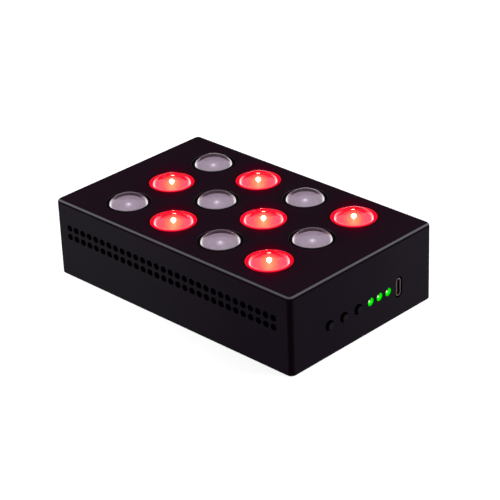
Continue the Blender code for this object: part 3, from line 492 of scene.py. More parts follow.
def case_coat():
    """Matt black coat with fine grain. Painted on it: a highlight along the top edges, shade on the upright
    corners, on the window rims and in the bores, shade towards one upright corner, a red tint on the top, and
    the red and green glow of the lights.
    """
    material, tree, shader = new_finish("black_coat")
    speckle = noise(tree, 2200, 3)
    x, y, z = parts_of(geometry(tree, "Normal"))
    sides = between(speckle, (0.0098, 0.0082, 0.0108), (0.0118, 0.0098, 0.0128), 0.3, 0.75)
    # Painted shade: the sides grow darker towards the upright corner at +X and -Y.
    flat = vector("MULTIPLY", place_on_piece(tree), (1, 1, 0))
    from_corner = vector("DISTANCE", flat, (case_high.x, case_low.y, 0))
    sides = blended(spread(from_corner, 0.0, NEAR_CORNER_SHADE), (0.0078, 0.0051, 0.0087), sides)
    # Painted light and shade: the top takes a darker, redder tint than the sides, and a redder one still
    # round the lit windows, as if lit by their glow.
    top = between(speckle, (0.0098, 0.0042, 0.0080), (0.0118, 0.0054, 0.0098), 0.3, 0.75)
    faded = calc("EXPONENT", red_halo(tree) * -HALO_SATURATION)
    top = blended(faded, (0.0100, 0.0002, 0.0050), top)
    colour = blended(spread(z, 0.80, 0.98), sides, top)
    # Painted shade on the rounded upright corners.
    colour = blended(spread(abs(x * y), 0.08, 0.42), colour, (0.0042, 0.0018, 0.0040))
    # Painted shade on the rounded rims of the windows.
    from_window = distance_to_nearest(tree, RED_LENSES + CLEAR_LENSES)
    window_rim_shade = fade(from_window, WINDOW_RADIUS + WINDOW_ROUND / 2, WINDOW_RADIUS + 2 * WINDOW_ROUND)
    colour = blended(window_rim_shade * spread(z, 0.0, 0.1), colour, (0.0010, 0.0004, 0.0008))
    # Painted highlight along the rounded top edges, with thin lines of painted shade on either side of it.
    edge_start = case_high.z - TOP_EDGE_RADIUS
    edge = spread(parts_of(place_on_piece(tree))[2], edge_start - GAP, edge_start + GAP)
    dark = calc("MINIMUM", spread(z, 0.02, 0.15), fade(z, 0.970, 0.998))
    colour = blended(edge * dark, colour, (0.0045, 0.0015, 0.0035))
    lit = calc("MINIMUM", spread(z, 0.42, 0.72), fade(z, 0.78, 0.97))
    colour = blended(edge * lit, colour, (0.094, 0.092, 0.104))
    green = green_light(tree)
    # Painted shade: bores and gaps turn near black from a little under the outer surface.
    shade(shader, Base_Color=blended(outside_unshaded(tree), (0.0002, 0.0002, 0.0002), colour),
          Roughness=clouded(tree, 60, 2, 0.52, 0.66), Specular_IOR_Level=COAT_SHINE,
          # Emission paints the red light of the lit lenses and the green light of the status lights onto the
          # coat.
          Emission_Color=blended(calc("GREATER_THAN", green, 0.0), RED_GLOW, GREEN_GLOW),
          Emission_Strength=red_light(tree) + green)
    relief(shader, speckle, 0.15, 0.00005)
    return material


def cap_coat():
    """The coat's black on the caps' faces, with painted deep-black shade on the sides that stand in their
    holes, more on the upper and -Y sides.
    """
    material, tree, shader = new_finish("cap_coat")
    speckle = noise(tree, 2200, 3)
    face = between(speckle, (0.0098, 0.0078, 0.0098), (0.0118, 0.0096, 0.0118), 0.3, 0.75)
    x, y, z = parts_of(geometry(tree, "Normal"))
    # Painted shade: where the cap's surface turns away from its face, and more so on its upper and -Y sides,
    # it goes deep black.
    facing = spread(x + (y - z) * 0.35, 0.66, 0.82)
    shade(shader, Base_Color=blended(facing, (0.0004, 0.0004, 0.0004), face),
          Roughness=clouded(tree, 300, 2, 0.52, 0.66), Specular_IOR_Level=COAT_SHINE)
    relief(shader, speckle, 0.15, 0.00005)
    return material


def moulding(name, dark, light, roughness, glow=False, shine=0.2):
    """Fine matt moulded plastic or rubber."""
    material, tree, shader = new_finish(name)
    speckle = noise(tree, 3000, 2)
    shade(shader, Base_Color=between(speckle, dark, light), Specular_IOR_Level=shine,
          Roughness=clouded(tree, 200, 2, roughness - 0.05, roughness + 0.05))
    # Emission paints the red light of the lit lenses on the plastic.
    if glow:
        shade(shader, Emission_Color=RED_GLOW, Emission_Strength=red_light(tree))
    relief(shader, speckle, 0.2, 0.00004)
    return material


def metal(name, dark, light, roughness, stretch=(1, 1, 1)):
    """Brushed or tumbled metal, with fine lines along the axis that is stretched least."""
    material, tree, shader = new_finish(name)
    lines = noise(tree, 2600, 3, stretch)
    shade(shader, Base_Color=between(lines, dark, light), Metallic=1.0,
          Roughness=clouded(tree, 300, 2, roughness - 0.06, roughness + 0.06))
    relief(shader, lines, 0.1, 0.00002)
    return material


def port_steel():
    """Nickel-plated steel of the charging port, with painted shade on its face and a painted highlight where
    its edge turns.
    """
    material, tree, shader = new_finish("port_steel")
    lines = noise(tree, 2600, 3, (1, 1, 0.1))
    bright = between(lines, (0.44, 0.37, 0.34), (0.64, 0.56, 0.52))
    dark = between(lines, (0.085, 0.062, 0.055), (0.120, 0.090, 0.080))
    # Painted highlight on the turning edges, painted shade on the face.
    _, y, z = parts_of(geometry(tree, "Normal"))
    shade(shader, Base_Color=blended(spread(abs(z) + y * 0.6, 0.15, 0.60), dark, bright), Metallic=1.0,
          Roughness=clouded(tree, 300, 2, 0.28, 0.40))
    return material


def lens_glass(name, painted_sheen, arc_light):
    """Clear polished optical plastic, with a painted glint on each side, and a faint painted sheen and a
    painted line of light along its outline.
    """
    material, tree, shader = new_finish(name)
    ripple = noise(tree, 120, 1)
    turning = read(tree, "LayerWeight", "Facing", {"Blend": 0.5})
    # Emission paints the glints on the left and right, and the sheen and the light along the outline.
    side = fade(parts_of(geometry(tree, "Normal"))[2], 0.50, 0.80) * spread(sideways(tree), 0.20, 0.50)
    light = ramp(turning, (0.30, (0.0, 0.0, 0.0)), (0.50, painted_sheen), (0.65, painted_sheen), (0.80, arc_light))
    light = blended(spread(turning, 0.42, 0.66) * side, light, (GLINT_STRENGTH,) * 3)
    shade(shader, Base_Color=(0.97, 0.96, 0.98), Roughness=spread(ripple, 0.3, 0.7, 0.0, 0.03),
          Transmission_Weight=1.0, IOR=1.49, Specular_IOR_Level=0.15, Emission_Color=light,
          Emission_Strength=1.0 - geometry(tree, "Backfacing"))
    relief(shader, ripple, 0.05, 0.0001)
    return material


def lit_pad():
    """The lit phosphor: orange round the chip, pink-red further out, with a fine orange speckle."""
    material, tree, shader = new_finish("lit_pad")
    wander = (noise(tree, 2400, 2) - 0.5) * PAD_WANDER
    reach = distance_to_nearest(tree, RED_LENSES, SIGHT_SQUASH, PAD_SHIFT) + wander
    colour = ramp(spread(reach, 0.0, PAD_RADIUS), (0.0, (1.0, 0.30, 0.10)), (0.22, (1.0, 0.16, 0.075)),
                  (0.42, (1.0, 0.065, 0.085)), (0.7, (1.0, 0.038, 0.105)), (1.0, (1.0, 0.02, 0.08)))
    edge = spread(distance_to_nearest(tree, RED_LENSES), *(PAD_RADIUS * share for share in PAD_EDGE_SHARES))
    colour = blended(edge, colour, (1.0, 0.001, 0.02))
    sparkle = spread(noise(tree, 3200, 3), 0.60, 0.70) * fade(reach, *SPARKLE_REACH, 0.8)
    shade(shader, Base_Color=(0.10, 0.01, 0.01), Emission_Color=blended(sparkle, colour, (1.0, 0.72, 0.42)),
          Emission_Strength=1.0)
    return material


def glinting_rim(name, dim, bright, emission):
    """A rim inside a lens that glows with painted light, brightest as a painted highlight where it faces the
    softboxes on the left and the right.
    """
    material, tree, shader = new_finish(name)
    aside = sideways(tree) + (noise(tree, 150, 1) - 0.5) * 0.2
    colour = blended(spread(aside, 0.25, 0.60), dim, bright)
    shade(shader, Base_Color=colour, Roughness=0.5, Emission_Color=colour, Emission_Strength=emission)
    return material


def unlit_pad():
    """The unlit lilac-grey pad, paler round the chip, with the violet that a camera sees in infrared; its
    glow is partly that violet and partly painted light that evens out its shading.
    """
    material, tree, shader = new_finish("unlit_pad")
    colour = between(noise(tree, 700, 2), (0.200, 0.152, 0.198), (0.230, 0.175, 0.228))
    near = fade(distance_to_nearest(tree, CLEAR_LENSES), 0.0, UNLIT_GLOW_REACH, 0.60)
    colour = blended(near, colour, (0.50, 0.43, 0.55))
    shade(shader, Base_Color=colour, Roughness=0.5, Emission_Color=colour, Emission_Strength=1.0)
    return material


def hot_chip():
    """The burning middle of a lit emitter."""
    material, tree, shader = new_finish("hot_chip")
    colour = between(noise(tree, 4000, 1), (1.0, 0.75, 0.35), (1.0, 0.98, 0.8), 0.35, 0.6)
    shade(shader, Base_Color=(0.5, 0.3, 0.1), Emission_Color=colour, Emission_Strength=3.0)
    return material


def violet_chip():
    """The small pale chip of an unlit emitter, with a trace of violet light."""
    material, tree, shader = new_finish("violet_chip")
    colour = between(noise(tree, 4000, 1), (0.85, 0.80, 1.0), (1.0, 0.98, 1.0))
    shade(shader, Base_Color=colour, Roughness=0.3, Emission_Color=colour, Emission_Strength=0.3)
    return material


def green_glow():
    """The lit end of a light pipe: a hot spot on its left, green round it, and dark notches at its top."""
    material, tree, shader = new_finish("green_glow")
    places = [middle_of(name) for name in STATUS_LIGHTS]
    pitch = places[1].y - places[0].y
    _, y, z = parts_of(place_on_piece(tree))
    across = calc("WRAP", y - places[0].y, pitch / 2, -pitch / 2)
    up = z - places[0].z
    from_spot = [calc("POWER", value - middle, 2.0) for value, middle in zip((across, up), HOT_SPOT_PLACE)]
    from_spot = spread(calc("SQRT", from_spot[0] + from_spot[1]), 0.0, HOT_SPOT_REACH)
    colour = ramp(from_spot, (0.0, (0.9, 1.0, 0.75)), (0.3, (0.45, 1.0, 0.22)), (0.6, (0.02, 0.90, 0.01)),
                  (1.0, (0.0, 0.75, 0.0)))
    slot = fade(abs(across + up * SLOT_SLANT), *SLOT_WIDTHS) * spread(up, 0.0, SLOT_RISE)
    colour = blended(calc("MAXIMUM", spread(up, *NOTCH_HEIGHTS), slot), colour, (0.0, 0.02, 0.0))
    shade(shader, Base_Color=(0.01, 0.10, 0.01), Roughness=clouded(tree, 900, 1, 0.1, 0.2),
          Specular_IOR_Level=0.2, Emission_Color=colour, Emission_Strength=1.0)
    return material


def circuit_board(name, mask, trace, glow=False):
    """Solder mask with fine traces that show through it, and tinned rings round the screw holes."""
    material, tree, shader = new_finish(name)
    grid = read(tree, "TexBrick", "Color", {
        "Scale": 260, "Mortar Size": 0.012, "Color1": mask, "Color2": mask, "Mortar": trace,
        "Vector": place_on_piece(tree, (1, 1, 0.7))})
    colour = blended(spread(noise(tree, 90, 1), 0.45, 0.55), mask, grid)
    ring = fade(distance_to_nearest(tree, SINK_SCREWS), *TINNED_RING_RADII)
    shade(shader, Base_Color=blended(ring, colour, (0.60, 0.58, 0.52)), Metallic=ring,
          Roughness=clouded(tree, 400, 2, 0.28, 0.40), Specular_IOR_Level=0.4)
    # Emission paints the red light of the lit lenses on the board.
    if glow:
        shade(shader, Emission_Color=RED_GLOW, Emission_Strength=red_light(tree))
    return material


def cell_sleeve():
    """Shrink sleeve round a cell, open at its steel ends."""
    material, tree, shader = new_finish("cell_sleeve")
    low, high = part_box(CELLS[0])
    shoulder = high.x - CELL_NUB_HEIGHT
    x = parts_of(place_on_piece(tree))[0]
    along = abs(parts_of(geometry(tree, "Normal"))[0])
    ends = calc("MAXIMUM", fade(x, low.x + SLEEVE_EDGE, low.x + 2 * SLEEVE_EDGE),
                spread(x, shoulder - 2 * SLEEVE_EDGE, shoulder - SLEEVE_EDGE))
    steel = calc("MAXIMUM", ends * spread(along, 0.6, 0.8), spread(x, shoulder, shoulder + SLEEVE_EDGE))
    sleeve = between(noise(tree, 250, 2), (0.02, 0.07, 0.20), (0.03, 0.10, 0.27))
    shade(shader, Base_Color=blended(steel, sleeve, (0.62, 0.61, 0.58)), Metallic=steel,
          Roughness=clouded(tree, 500, 2, 0.25, 0.38), Specular_IOR_Level=0.4)
    return material


# Shapes

def added(bm, shape, place):
    """Place a finished shape and add it to another."""
    bmesh.ops.transform(shape, matrix=place, verts=shape.verts)
    mesh = bpy.data.meshes.new("shape")
    shape.to_mesh(mesh)
    shape.free()
    bm.from_mesh(mesh)
    bpy.data.meshes.remove(mesh)
    return bm


def rounded(bm, edges, radius, segments=2):
    """Round some edges of a shape."""
    bmesh.ops.bevel(bm, geom=edges, offset=radius, offset_type="OFFSET", segments=segments, profile=0.5,
                    affect="EDGES", material=-1)


def turned(bm, profile, steps, place=Matrix()):
    """Add a body of revolution round Z, from a profile of (radius, height) points, and then place it."""
    shape = bmesh.new()
    verts = [shape.verts.new((radius, 0, height)) for radius, height in profile]
    edges = [shape.edges.new(pair) for pair in zip(verts, verts[1:])]
    bmesh.ops.spin(shape, geom=verts + edges, cent=(0, 0, 0), axis=(0, 0, 1), angle=math.tau, steps=steps,
                   use_merge=True)
    bmesh.ops.remove_doubles(shape, verts=shape.verts, dist=MERGE_DISTANCE)
    return added(bm, shape, place)


def block(bm, low, high, edge=0.0):
    """Add a box between two opposite corners, with a small round along its edges if it has one."""
    low = Vector(low)
    high = Vector(high)
    shape = bmesh.new()
    bmesh.ops.create_cube(shape, size=1, matrix=Matrix.Diagonal((*(abs(value) for value in high - low), 1)))
    if edge:
        rounded(shape, shape.edges[:], edge)
    return added(bm, shape, Matrix.Translation((low + high) / 2))


def prism(bm, outline, height, place=Matrix(), edge=0.0):
    """Add a straight prism on an outline in the XY plane, with round rims if asked, and then place it."""
    shape = bmesh.new()
    face = shape.faces.new([shape.verts.new((x, y, 0)) for x, y in outline])
    grown = bmesh.ops.extrude_face_region(shape, geom=[face])["geom"]
    bmesh.ops.translate(shape, verts=[item for item in grown if isinstance(item, bmesh.types.BMVert)],
                        vec=(0, 0, height))
    if edge:
        rounded(shape, [item for item in shape.edges if item.verts[0].co.z == item.verts[1].co.z], edge)
    return added(bm, shape, place)


def arc(centre, radius, start, end, steps):
    """Points of an arc, from one angle in degrees to another."""
    points = []
    for step in range(steps + 1):
        angle = math.radians(start + (end - start) * step / steps)
        points.append((centre[0] + radius * math.cos(angle), centre[1] + radius * math.sin(angle)))
    return points


def round_corners(length, width, radius, steps):
    """The outline of a rectangle with round corners, centred on the origin."""
    outline = []
    for quarter, (sx, sy) in enumerate([(1, 1), (-1, 1), (-1, -1), (1, -1)]):
        centre = (sx * (length / 2 - radius), sy * (width / 2 - radius))
        outline += arc(centre, radius, quarter * 90, quarter * 90 + 90, steps)
    return outline


def rod(radius, low, high):
    """The profile of a plain round rod."""
    return [(0, low), (radius, low), (radius, high), (0, high)]


def dome(radius, rise, top, steps):
    """The profile of a cap cut from a ball."""
    ball = (radius ** 2 + rise ** 2) / (2 * rise)
    opening = math.degrees(math.asin(radius / ball))
    return arc((0, top - ball), ball, 90 - opening, 90, steps)


def hole(radius, depth, rounding, steps):
    """The profile of a cutter for a hole with a round mouth at height zero."""
    mouth = arc((radius + rounding, -rounding), rounding, 180, 90, steps)
    return [(0, -depth), (radius, -depth)] + mouth + [(radius + rounding, OVERRUN), (0, OVERRUN)]


def over(node, height=0.0):
    """Move a shape to a solid's middle line, at a height."""
    return Matrix.Translation((*middle_of(node).to_2d(), height))


def along_x(place):
    """Turn a shape so that its upright axis runs along X."""
    return Matrix.Translation(place) @ Matrix.Rotation(math.pi / 2, 4, "Y")


def along_x_at(node, x):
    """Turn a shape along X, onto a solid's middle line at some X."""
    middle = middle_of(node)
    return along_x((x, middle.y, middle.z))


def along_y(place, side):
    """Turn a shape so that its upright axis runs out of a long side."""
    return Matrix.Translation(place) @ Matrix.Rotation(-side * math.pi / 2, 4, "X")


def closed_mesh(name, bm):
    """A mesh whose faces point outwards."""
    bmesh.ops.recalc_face_normals(bm, faces=bm.faces[:])
    mesh = bpy.data.meshes.new(name)
    bm.to_mesh(mesh)
    bm.free()
    return mesh


def carved(name, base, *steps):
    """Cut shapes from a base, or join them on, in turn."""
    objects = []
    for number, shape in enumerate([base] + [shape for _, shape in steps]):
        obj = bpy.data.objects.new(f"{name}_{number}", closed_mesh(name, shape))
        bpy.context.scene.collection.objects.link(obj)
        objects.append(obj)
    for (operation, _), tool in zip(steps, objects[1:]):
        modifier = objects[0].modifiers.new(operation, "BOOLEAN")
        modifier.operation = operation
        modifier.solver = "EXACT"
        modifier.object = tool
    graph = bpy.context.evaluated_depsgraph_get()
    mesh = bpy.data.meshes.new_from_object(objects[0].evaluated_get(graph))
    for obj in objects:
        bpy.data.objects.remove(obj)
    return mesh


def piece(name, shape, material, body, slot, *nodes):
    """Show a finished shape as a piece that rides on a body and stands for the solids named."""
    mesh = closed_mesh(name, shape) if isinstance(shape, bmesh.types.BMesh) else shape
    obj = bpy.data.objects.new(name, mesh)
    bpy.context.scene.collection.objects.link(obj)
    mesh.materials.clear()
    mesh.materials.append(material)
    mesh.shade_smooth()
    mesh.set_sharp_from_angle(angle=SMOOTH_ANGLE)
    weighted = obj.modifiers.new("Weighted normals", "WEIGHTED_NORMAL")
    weighted.keep_sharp = True
    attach(obj, body)
    if nodes:
        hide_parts(*nodes)


def refinish(node, material):
    """Keep a solid as it is, in a better finish."""
    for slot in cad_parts[node].material_slots:
        slot.material = material


# Case and cover

def case_outside():
    """A block with round upright edges, round top edges and finely rounded bottom edges."""
    bm = block(bmesh.new(), case_low, case_high)
    upright = [edge for edge in bm.edges if edge.verts[0].co.z != edge.verts[1].co.z]
    rounded(bm, upright, CORNER_RADIUS, 8)
    for level, radius, segments in ((case_high.z, TOP_EDGE_RADIUS, 8), (case_low.z, BOTTOM_EDGE_RADIUS, 2)):
        rim = [edge for edge in bm.edges
               if all(abs(vert.co.z - level) < MERGE_DISTANCE for vert in edge.verts)]
        rounded(bm, rim, radius, segments)
    return bm


def case_inside():
    """The hollow of the case, open below."""
    length = case_high.x - case_low.x - 2 * WALL
    width = case_high.y - case_low.y - 2 * WALL
    return prism(bmesh.new(), round_corners(length, width, INNER_CORNER_RADIUS, 4), top_underside + OVERRUN,
                 Matrix.Translation((0, 0, -OVERRUN)))


def case_posts():
    """Corner posts for the cover's screws, and bosses for the screws of the heat sink."""
    bm = bmesh.new()
    inner_x = case_high.x - WALL
    inner_y = case_high.y - WALL
    for cover_screw, sink_screw in zip(COVER_SCREWS, SINK_SCREWS):
        screw = middle_of(cover_screw)
        sx = math.copysign(1, screw.x)
        sy = math.copysign(1, screw.y)
        block(bm, (sx * (inner_x - POST_SIZE), sy * (inner_y - POST_SIZE), cover_high.z + GAP),
              (sx * (inner_x + BOND), sy * (inner_y + BOND), POST_TOP))
        turned(bm, rod(BOSS_RADIUS, led_board_high.z + GAP, top_underside + BOND), 32, over(sink_screw))
    return bm


def case_guides():
    """Upright ribs on both long walls that the ends of the control board stand between."""
    bm = bmesh.new()
    inner_y = case_high.y - WALL
    ribs = ((control_board_low.x - GAP, -GUIDE_THICKNESS), (control_board_high.x + GAP, GUIDE_THICKNESS))
    for side in (-1, 1):
        for near, depth in ribs:
            block(bm, (near, side * (inner_y + BOND), cover_high.z + GAP),
                  (near + depth, side * (inner_y - GUIDE_REACH), GUIDE_TOP))
    return bm


def case_openings():
    """Windows, vents, screw bores and the openings for the controls."""
    bm = bmesh.new()
    for name in RED_LENSES + CLEAR_LENSES:
        turned(bm, hole(WINDOW_RADIUS, WALL + OVERRUN, WINDOW_ROUND, 3), 96, over(name, case_high.z))
    for side in (-1, 1):
        for column in range(VENT_COUNT):
            x = VENT_MIDDLE_X + (column - (VENT_COUNT - 1) / 2) * VENT_PITCH
            for z in VENT_HEIGHTS:
                turned(bm, hole(VENT_RADIUS, WALL + OVERRUN, VENT_ROUND, 1), 20,
                       along_y((x, side * case_high.y, z), side))
    for names, radius in ((BUTTON_BODIES, BUTTON_HOLE_RADIUS), (STATUS_LIGHTS, LIGHT_HOLE_RADIUS)):
        for name in names:
            turned(bm, hole(radius, WALL + OVERRUN, CONTROL_ROUND, 2), 48, along_x_at(name, case_high.x))
    prism(bm, port_outline(PORT_OPENING_CLEARANCE), WALL + 2 * OVERRUN,
          along_x_at("port_sleeve", case_high.x - WALL - OVERRUN))
    start = cover_high.z + GAP
    post_bore = rod(SCREW_BORE_RADIUS, start - OVERRUN, start + POST_BORE_DEPTH)
    boss_bore = rod(SCREW_BORE_RADIUS, led_board_high.z, case_high.z - BOSS_BORE_ROOF)
    for cover_screw, sink_screw in zip(COVER_SCREWS, SINK_SCREWS):
        turned(bm, post_bore, 24, over(cover_screw))
        turned(bm, boss_bore, 24, over(sink_screw))
    return bm


def make_case(coat):
    """The black case, with its posts, bosses, guides and openings."""
    mesh = carved("case_shell", case_outside(), ("DIFFERENCE", case_inside()), ("UNION", case_posts()),
                  ("UNION", case_guides()), ("DIFFERENCE", case_openings()))
    piece("case_shell", mesh, coat, "case", "coated_case", "housing")


def make_cover(coat):
    """The screwed bottom, with a countersink for each of its four screws."""
    size = cover_high - cover_low
    plate = prism(bmesh.new(), round_corners(size.x, size.y, INNER_CORNER_RADIUS, 6), size.z,
                  edge=COVER_EDGE_RADIUS)
    mouth = COVER_HEAD_RADIUS + COUNTERSINK_CLEARANCE
    bore = SCREW_RADIUS + COUNTERSINK_CLEARANCE
    sink = [(0, -OVERRUN), (mouth, -OVERRUN), (mouth, COVER_HEAD_RECESS),
            (bore, COVER_HEAD_RECESS + COVER_HEAD_HEIGHT), (bore, size.z + OVERRUN), (0, size.z + OVERRUN)]
    sinks = bmesh.new()
    for name in COVER_SCREWS:
        turned(sinks, sink, 48, over(name))
    mesh = carved("cover_plate", plate, ("DIFFERENCE", sinks))
    piece("cover_plate", mesh, coat, "case", "coated_case", "bottom_cover")


# Screws

def thread(radius, start, end):
    """The profile of a thread's crests and roots."""
    points = []
    for turn in range(math.floor((end - start) / THREAD_PITCH)):
        root = start + turn * THREAD_PITCH
        points += [(radius - THREAD_DEPTH, root), (radius, root + THREAD_PITCH / 2)]
    return points


def screw_mesh(name, head, radius, start, end, face):
    """A screw on Z with its head down: the head's profile, a threaded shank and a six-sided socket."""
    profile = head + thread(radius, start, end) + [(radius - THREAD_DEPTH, end), (0, end)]
    socket = prism(bmesh.new(), arc((0, 0), SOCKET_RADIUS, 0, 300, 5), SOCKET_DEPTH + OVERRUN,
                   Matrix.Translation((0, 0, face - OVERRUN)))
    return carved(name, turned(bmesh.new(), profile, 32), ("DIFFERENCE", socket))


def pan_head(radius, height):
    """The profile of a domed head below height zero."""
    crown = height - HEAD_EDGE
    return [(0, -height)] + arc((radius - crown, -HEAD_EDGE), crown, 270, 360, 6) + [(radius, 0)]


def show_screw(name, mesh, height, steel):
    """Put a copy of a screw in a solid's place."""
    copy = mesh.copy()
    copy.transform(over(name, height))
    piece(name + "_steel", copy, steel, "case", "dark_steel", name)


def make_screws(steel):
    """Countersunk screws in the cover, and domed ones in the heat sink and the fan."""
    cone_top = COVER_HEAD_RECESS + COVER_HEAD_HEIGHT
    head = [(0, COVER_HEAD_RECESS), (COVER_HEAD_RADIUS, COVER_HEAD_RECESS),
            (COVER_HEAD_RADIUS, COVER_HEAD_RECESS + HEAD_EDGE / 2), (SCREW_RADIUS, cone_top)]
    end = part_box(COVER_SCREWS[0])[1].z
    mesh = screw_mesh("countersunk", head, SCREW_RADIUS, cone_top + THREAD_PITCH, end, COVER_HEAD_RECESS)
    for name in COVER_SCREWS:
        show_screw(name, mesh, 0, steel)
    for names, radius, height in ((SINK_SCREWS, SCREW_RADIUS, SINK_HEAD_HEIGHT),
                                  (FAN_SCREWS, FAN_SCREW_RADIUS, FAN_HEAD_HEIGHT)):
        low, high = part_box(names[0])
        head = pan_head((high.x - low.x) / 2, height)
        mesh = screw_mesh("domed", head, radius, THREAD_PITCH, high.z - low.z - height, -height)
        for name in names:
            show_screw(name, mesh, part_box(name)[0].z + height, steel)


# Lenses, emitters and the plates round them

def lens_profile(low, high):
    """A dome between a ball and an ellipse, on a round skirt with a seat flange."""
    rim = low.z + LENS_SKIRT_HEIGHT
    rise = high.z - rim
    ball = (LENS_RADIUS ** 2 + rise ** 2) / (2 * rise)
    flange = (high.x - low.x) / 2
    top = low.z + FLANGE_HEIGHT
    crown = []
    for step in range(DOME_STEPS + 1):
        turn = math.radians(90 * step / DOME_STEPS)
        radius = LENS_RADIUS * math.cos(turn)
        flat = rim + rise * math.sin(turn)
        full = high.z - ball + math.sqrt(ball ** 2 - radius ** 2)
        crown.append((radius, DOME_FLATNESS * flat + (1 - DOME_FLATNESS) * full))
    return [(0, low.z), (flange, low.z), (flange, top), (LENS_RADIUS, top)] + crown


def make_lenses():
    """Six lenses over lit emitters, and six over unlit ones."""
    # The second and third colours are the painted sheen and the painted light along each lens's outline.
    lit_glass = lens_glass("lit_glass", (0.02, 0.0, 0.001), (0.05, 0.0, 0.002))
    clear_glass = lens_glass("clear_glass", (0.040, 0.022, 0.032), (0.110, 0.075, 0.095))
    for names, slot, glass in ((RED_LENSES, "red_lens", lit_glass),
                               (CLEAR_LENSES, "clear_lens", clear_glass)):
        for name in names:
            shape = turned(bmesh.new(), lens_profile(*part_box(name)), 64, over(name))
            piece(name + "_glass", shape, glass, "case", slot, name)


def rim_profile(lens):
    """The rim of painted light between a lens's skirt and its dome, cut off where the dome comes in over it.
    """
    low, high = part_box(lens)
    seam = low.z + LENS_SKIRT_HEIGHT
    foot = seam - GLINT_RIM_DEPTH
    outer = LENS_RADIUS - GLINT_RIM_CLEARANCE
    inner = outer - GLINT_RIM_WIDTH
    rise = GLINT_RIM_WIDTH * (high.z - seam) / LENS_RADIUS
    return [(inner, foot), (outer, foot), (outer, seam - GLINT_RIM_CLEARANCE), (inner, seam + rise),
            (inner, foot)]


def chip_profile(colour, base):
    """A small ball on a neck, or a flat bead."""
    radius, thickness = CHIP_SIZES[colour]
    side = min(radius, thickness / 2)
    top = base + thickness
    bead = arc((radius - side, top - side), side, -75, 90, 10)
    return [(0, base - GAP), (radius * CHIP_NECK, base - GAP)] + bead + [(0, top)]


def make_emitters():
    """The domed pad inside each lens, the chip on its crown, the rim of painted light and, if lit, the bond's
    bar.
    """
    # The rims' colours and glow are painted light: dim, and bright where they face the softboxes.
    lit_rim = glinting_rim("lit_rim", (0.85, 0.10, 0.14), (1.0, 0.25, 0.30), 0.8)
    pale_rim = glinting_rim("pale_rim", (0.26, 0.21, 0.26), (0.50, 0.45, 0.50), 0.5)
    kinds = (("red", RED_LENSES, lit_pad(), hot_chip(), lit_rim),
             ("infrared", CLEAR_LENSES, unlit_pad(), violet_chip(), pale_rim))
    low = led_board_high.z + GAP / 2
    high = low + PAD_HEIGHT
    pad_profile = [(0, low), (PAD_RADIUS, low)] + dome(PAD_RADIUS, PAD_HEIGHT - PAD_WALL, high, 16)
    bar_place = Matrix.Translation((0, BOND_BAR_OFFSET, high - BOND_BAR_DROP))
    half = Vector(BOND_BAR) / 2
    for colour, names, pad, chip, rim in kinds:
        for number, name in enumerate(names, 1):
            shape = turned(bmesh.new(), pad_profile, 64, over(name))
            piece(f"{colour}_pad_{number}", shape, pad, "case", "emitter", f"{colour}_led_{number}")
            shape = turned(bmesh.new(), rim_profile(name), 64, over(name))
            piece(f"{colour}_rim_{number}", shape, rim, "case", "emitter")
            shape = turned(bmesh.new(), chip_profile(colour, high), 24, over(name))
            if colour == "red":
                turn = Matrix.Rotation(SIGHT_ANGLE, 4, "Z")
                added(shape, block(bmesh.new(), -half, half), over(name) @ turn @ bar_place)
            piece(f"{colour}_chip_{number}", shape, chip, "case", "emitter")


def make_holder(plastic):
    """The plate that clamps the lenses' flanges, on a rim that stands on the light board."""
    plate_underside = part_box(RED_LENSES[0])[0].z + FLANGE_HEIGHT + GAP
    rim = Vector((HOLDER_RIM, HOLDER_RIM, 0))
    hollow_high = holder_high - rim
    hollow_high.z = plate_underside
    hollow = block(bmesh.new(), holder_low + rim - Vector((0, 0, OVERRUN)), hollow_high)
    holes = bmesh.new()
    collars = bmesh.new()
    inner = LENS_RADIUS + GAP
    outer = inner + COLLAR_WIDTH
    foot = holder_high.z - BOND
    top = case_high.z - COLLAR_BELOW_TOP
    collar = [(inner, foot), (outer, foot), (outer, top), (inner, top), (inner, foot)]
    for name in RED_LENSES + CLEAR_LENSES:
        turned(holes, hole(inner, holder_high.z - plate_underside + OVERRUN, VENT_ROUND, 1), 64,
               over(name, holder_high.z))
        turned(collars, collar, 64, over(name))
    for name in SINK_SCREWS:
        turned(holes, rod(BOSS_RADIUS + GAP, holder_low.z - OVERRUN, holder_high.z + OVERRUN), 32, over(name))
    mesh = carved("holder_plate", block(bmesh.new(), holder_low, holder_high), ("DIFFERENCE", hollow),
                  ("DIFFERENCE", holes), ("UNION", collars))
    piece("holder_plate", mesh, plastic, "case", "black_plastic", "lens_holder")


# Controls

def make_buttons(coat):
    """Round caps with a slightly dished face, on a flange behind the wall and a stem into the switch."""
    for name, body in BUTTON_BODIES.items():
        low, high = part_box(name)
        flange_outer = case_high.x - WALL - GAP - high.x
        flange_inner = flange_outer - BUTTON_FLANGE_THICKNESS
        end = low.x - high.x
        face = BUTTON_RADIUS - BUTTON_EDGE
        profile = [(0, end), (BUTTON_STEM_RADIUS, end), (BUTTON_STEM_RADIUS, flange_inner),
                   (BUTTON_FLANGE_RADIUS, flange_inner), (BUTTON_FLANGE_RADIUS, flange_outer),
                   (BUTTON_RADIUS, flange_outer)]
        profile += arc((face, -BUTTON_EDGE), BUTTON_EDGE, 0, 90, 5)
        profile += [(face / 2, -BUTTON_DISH * 0.75), (0, -BUTTON_DISH)]
        shape = turned(bmesh.new(), profile, 48, along_x_at(name, high.x))
        piece(name + "_cap", shape, coat, body, "black_plastic", name)


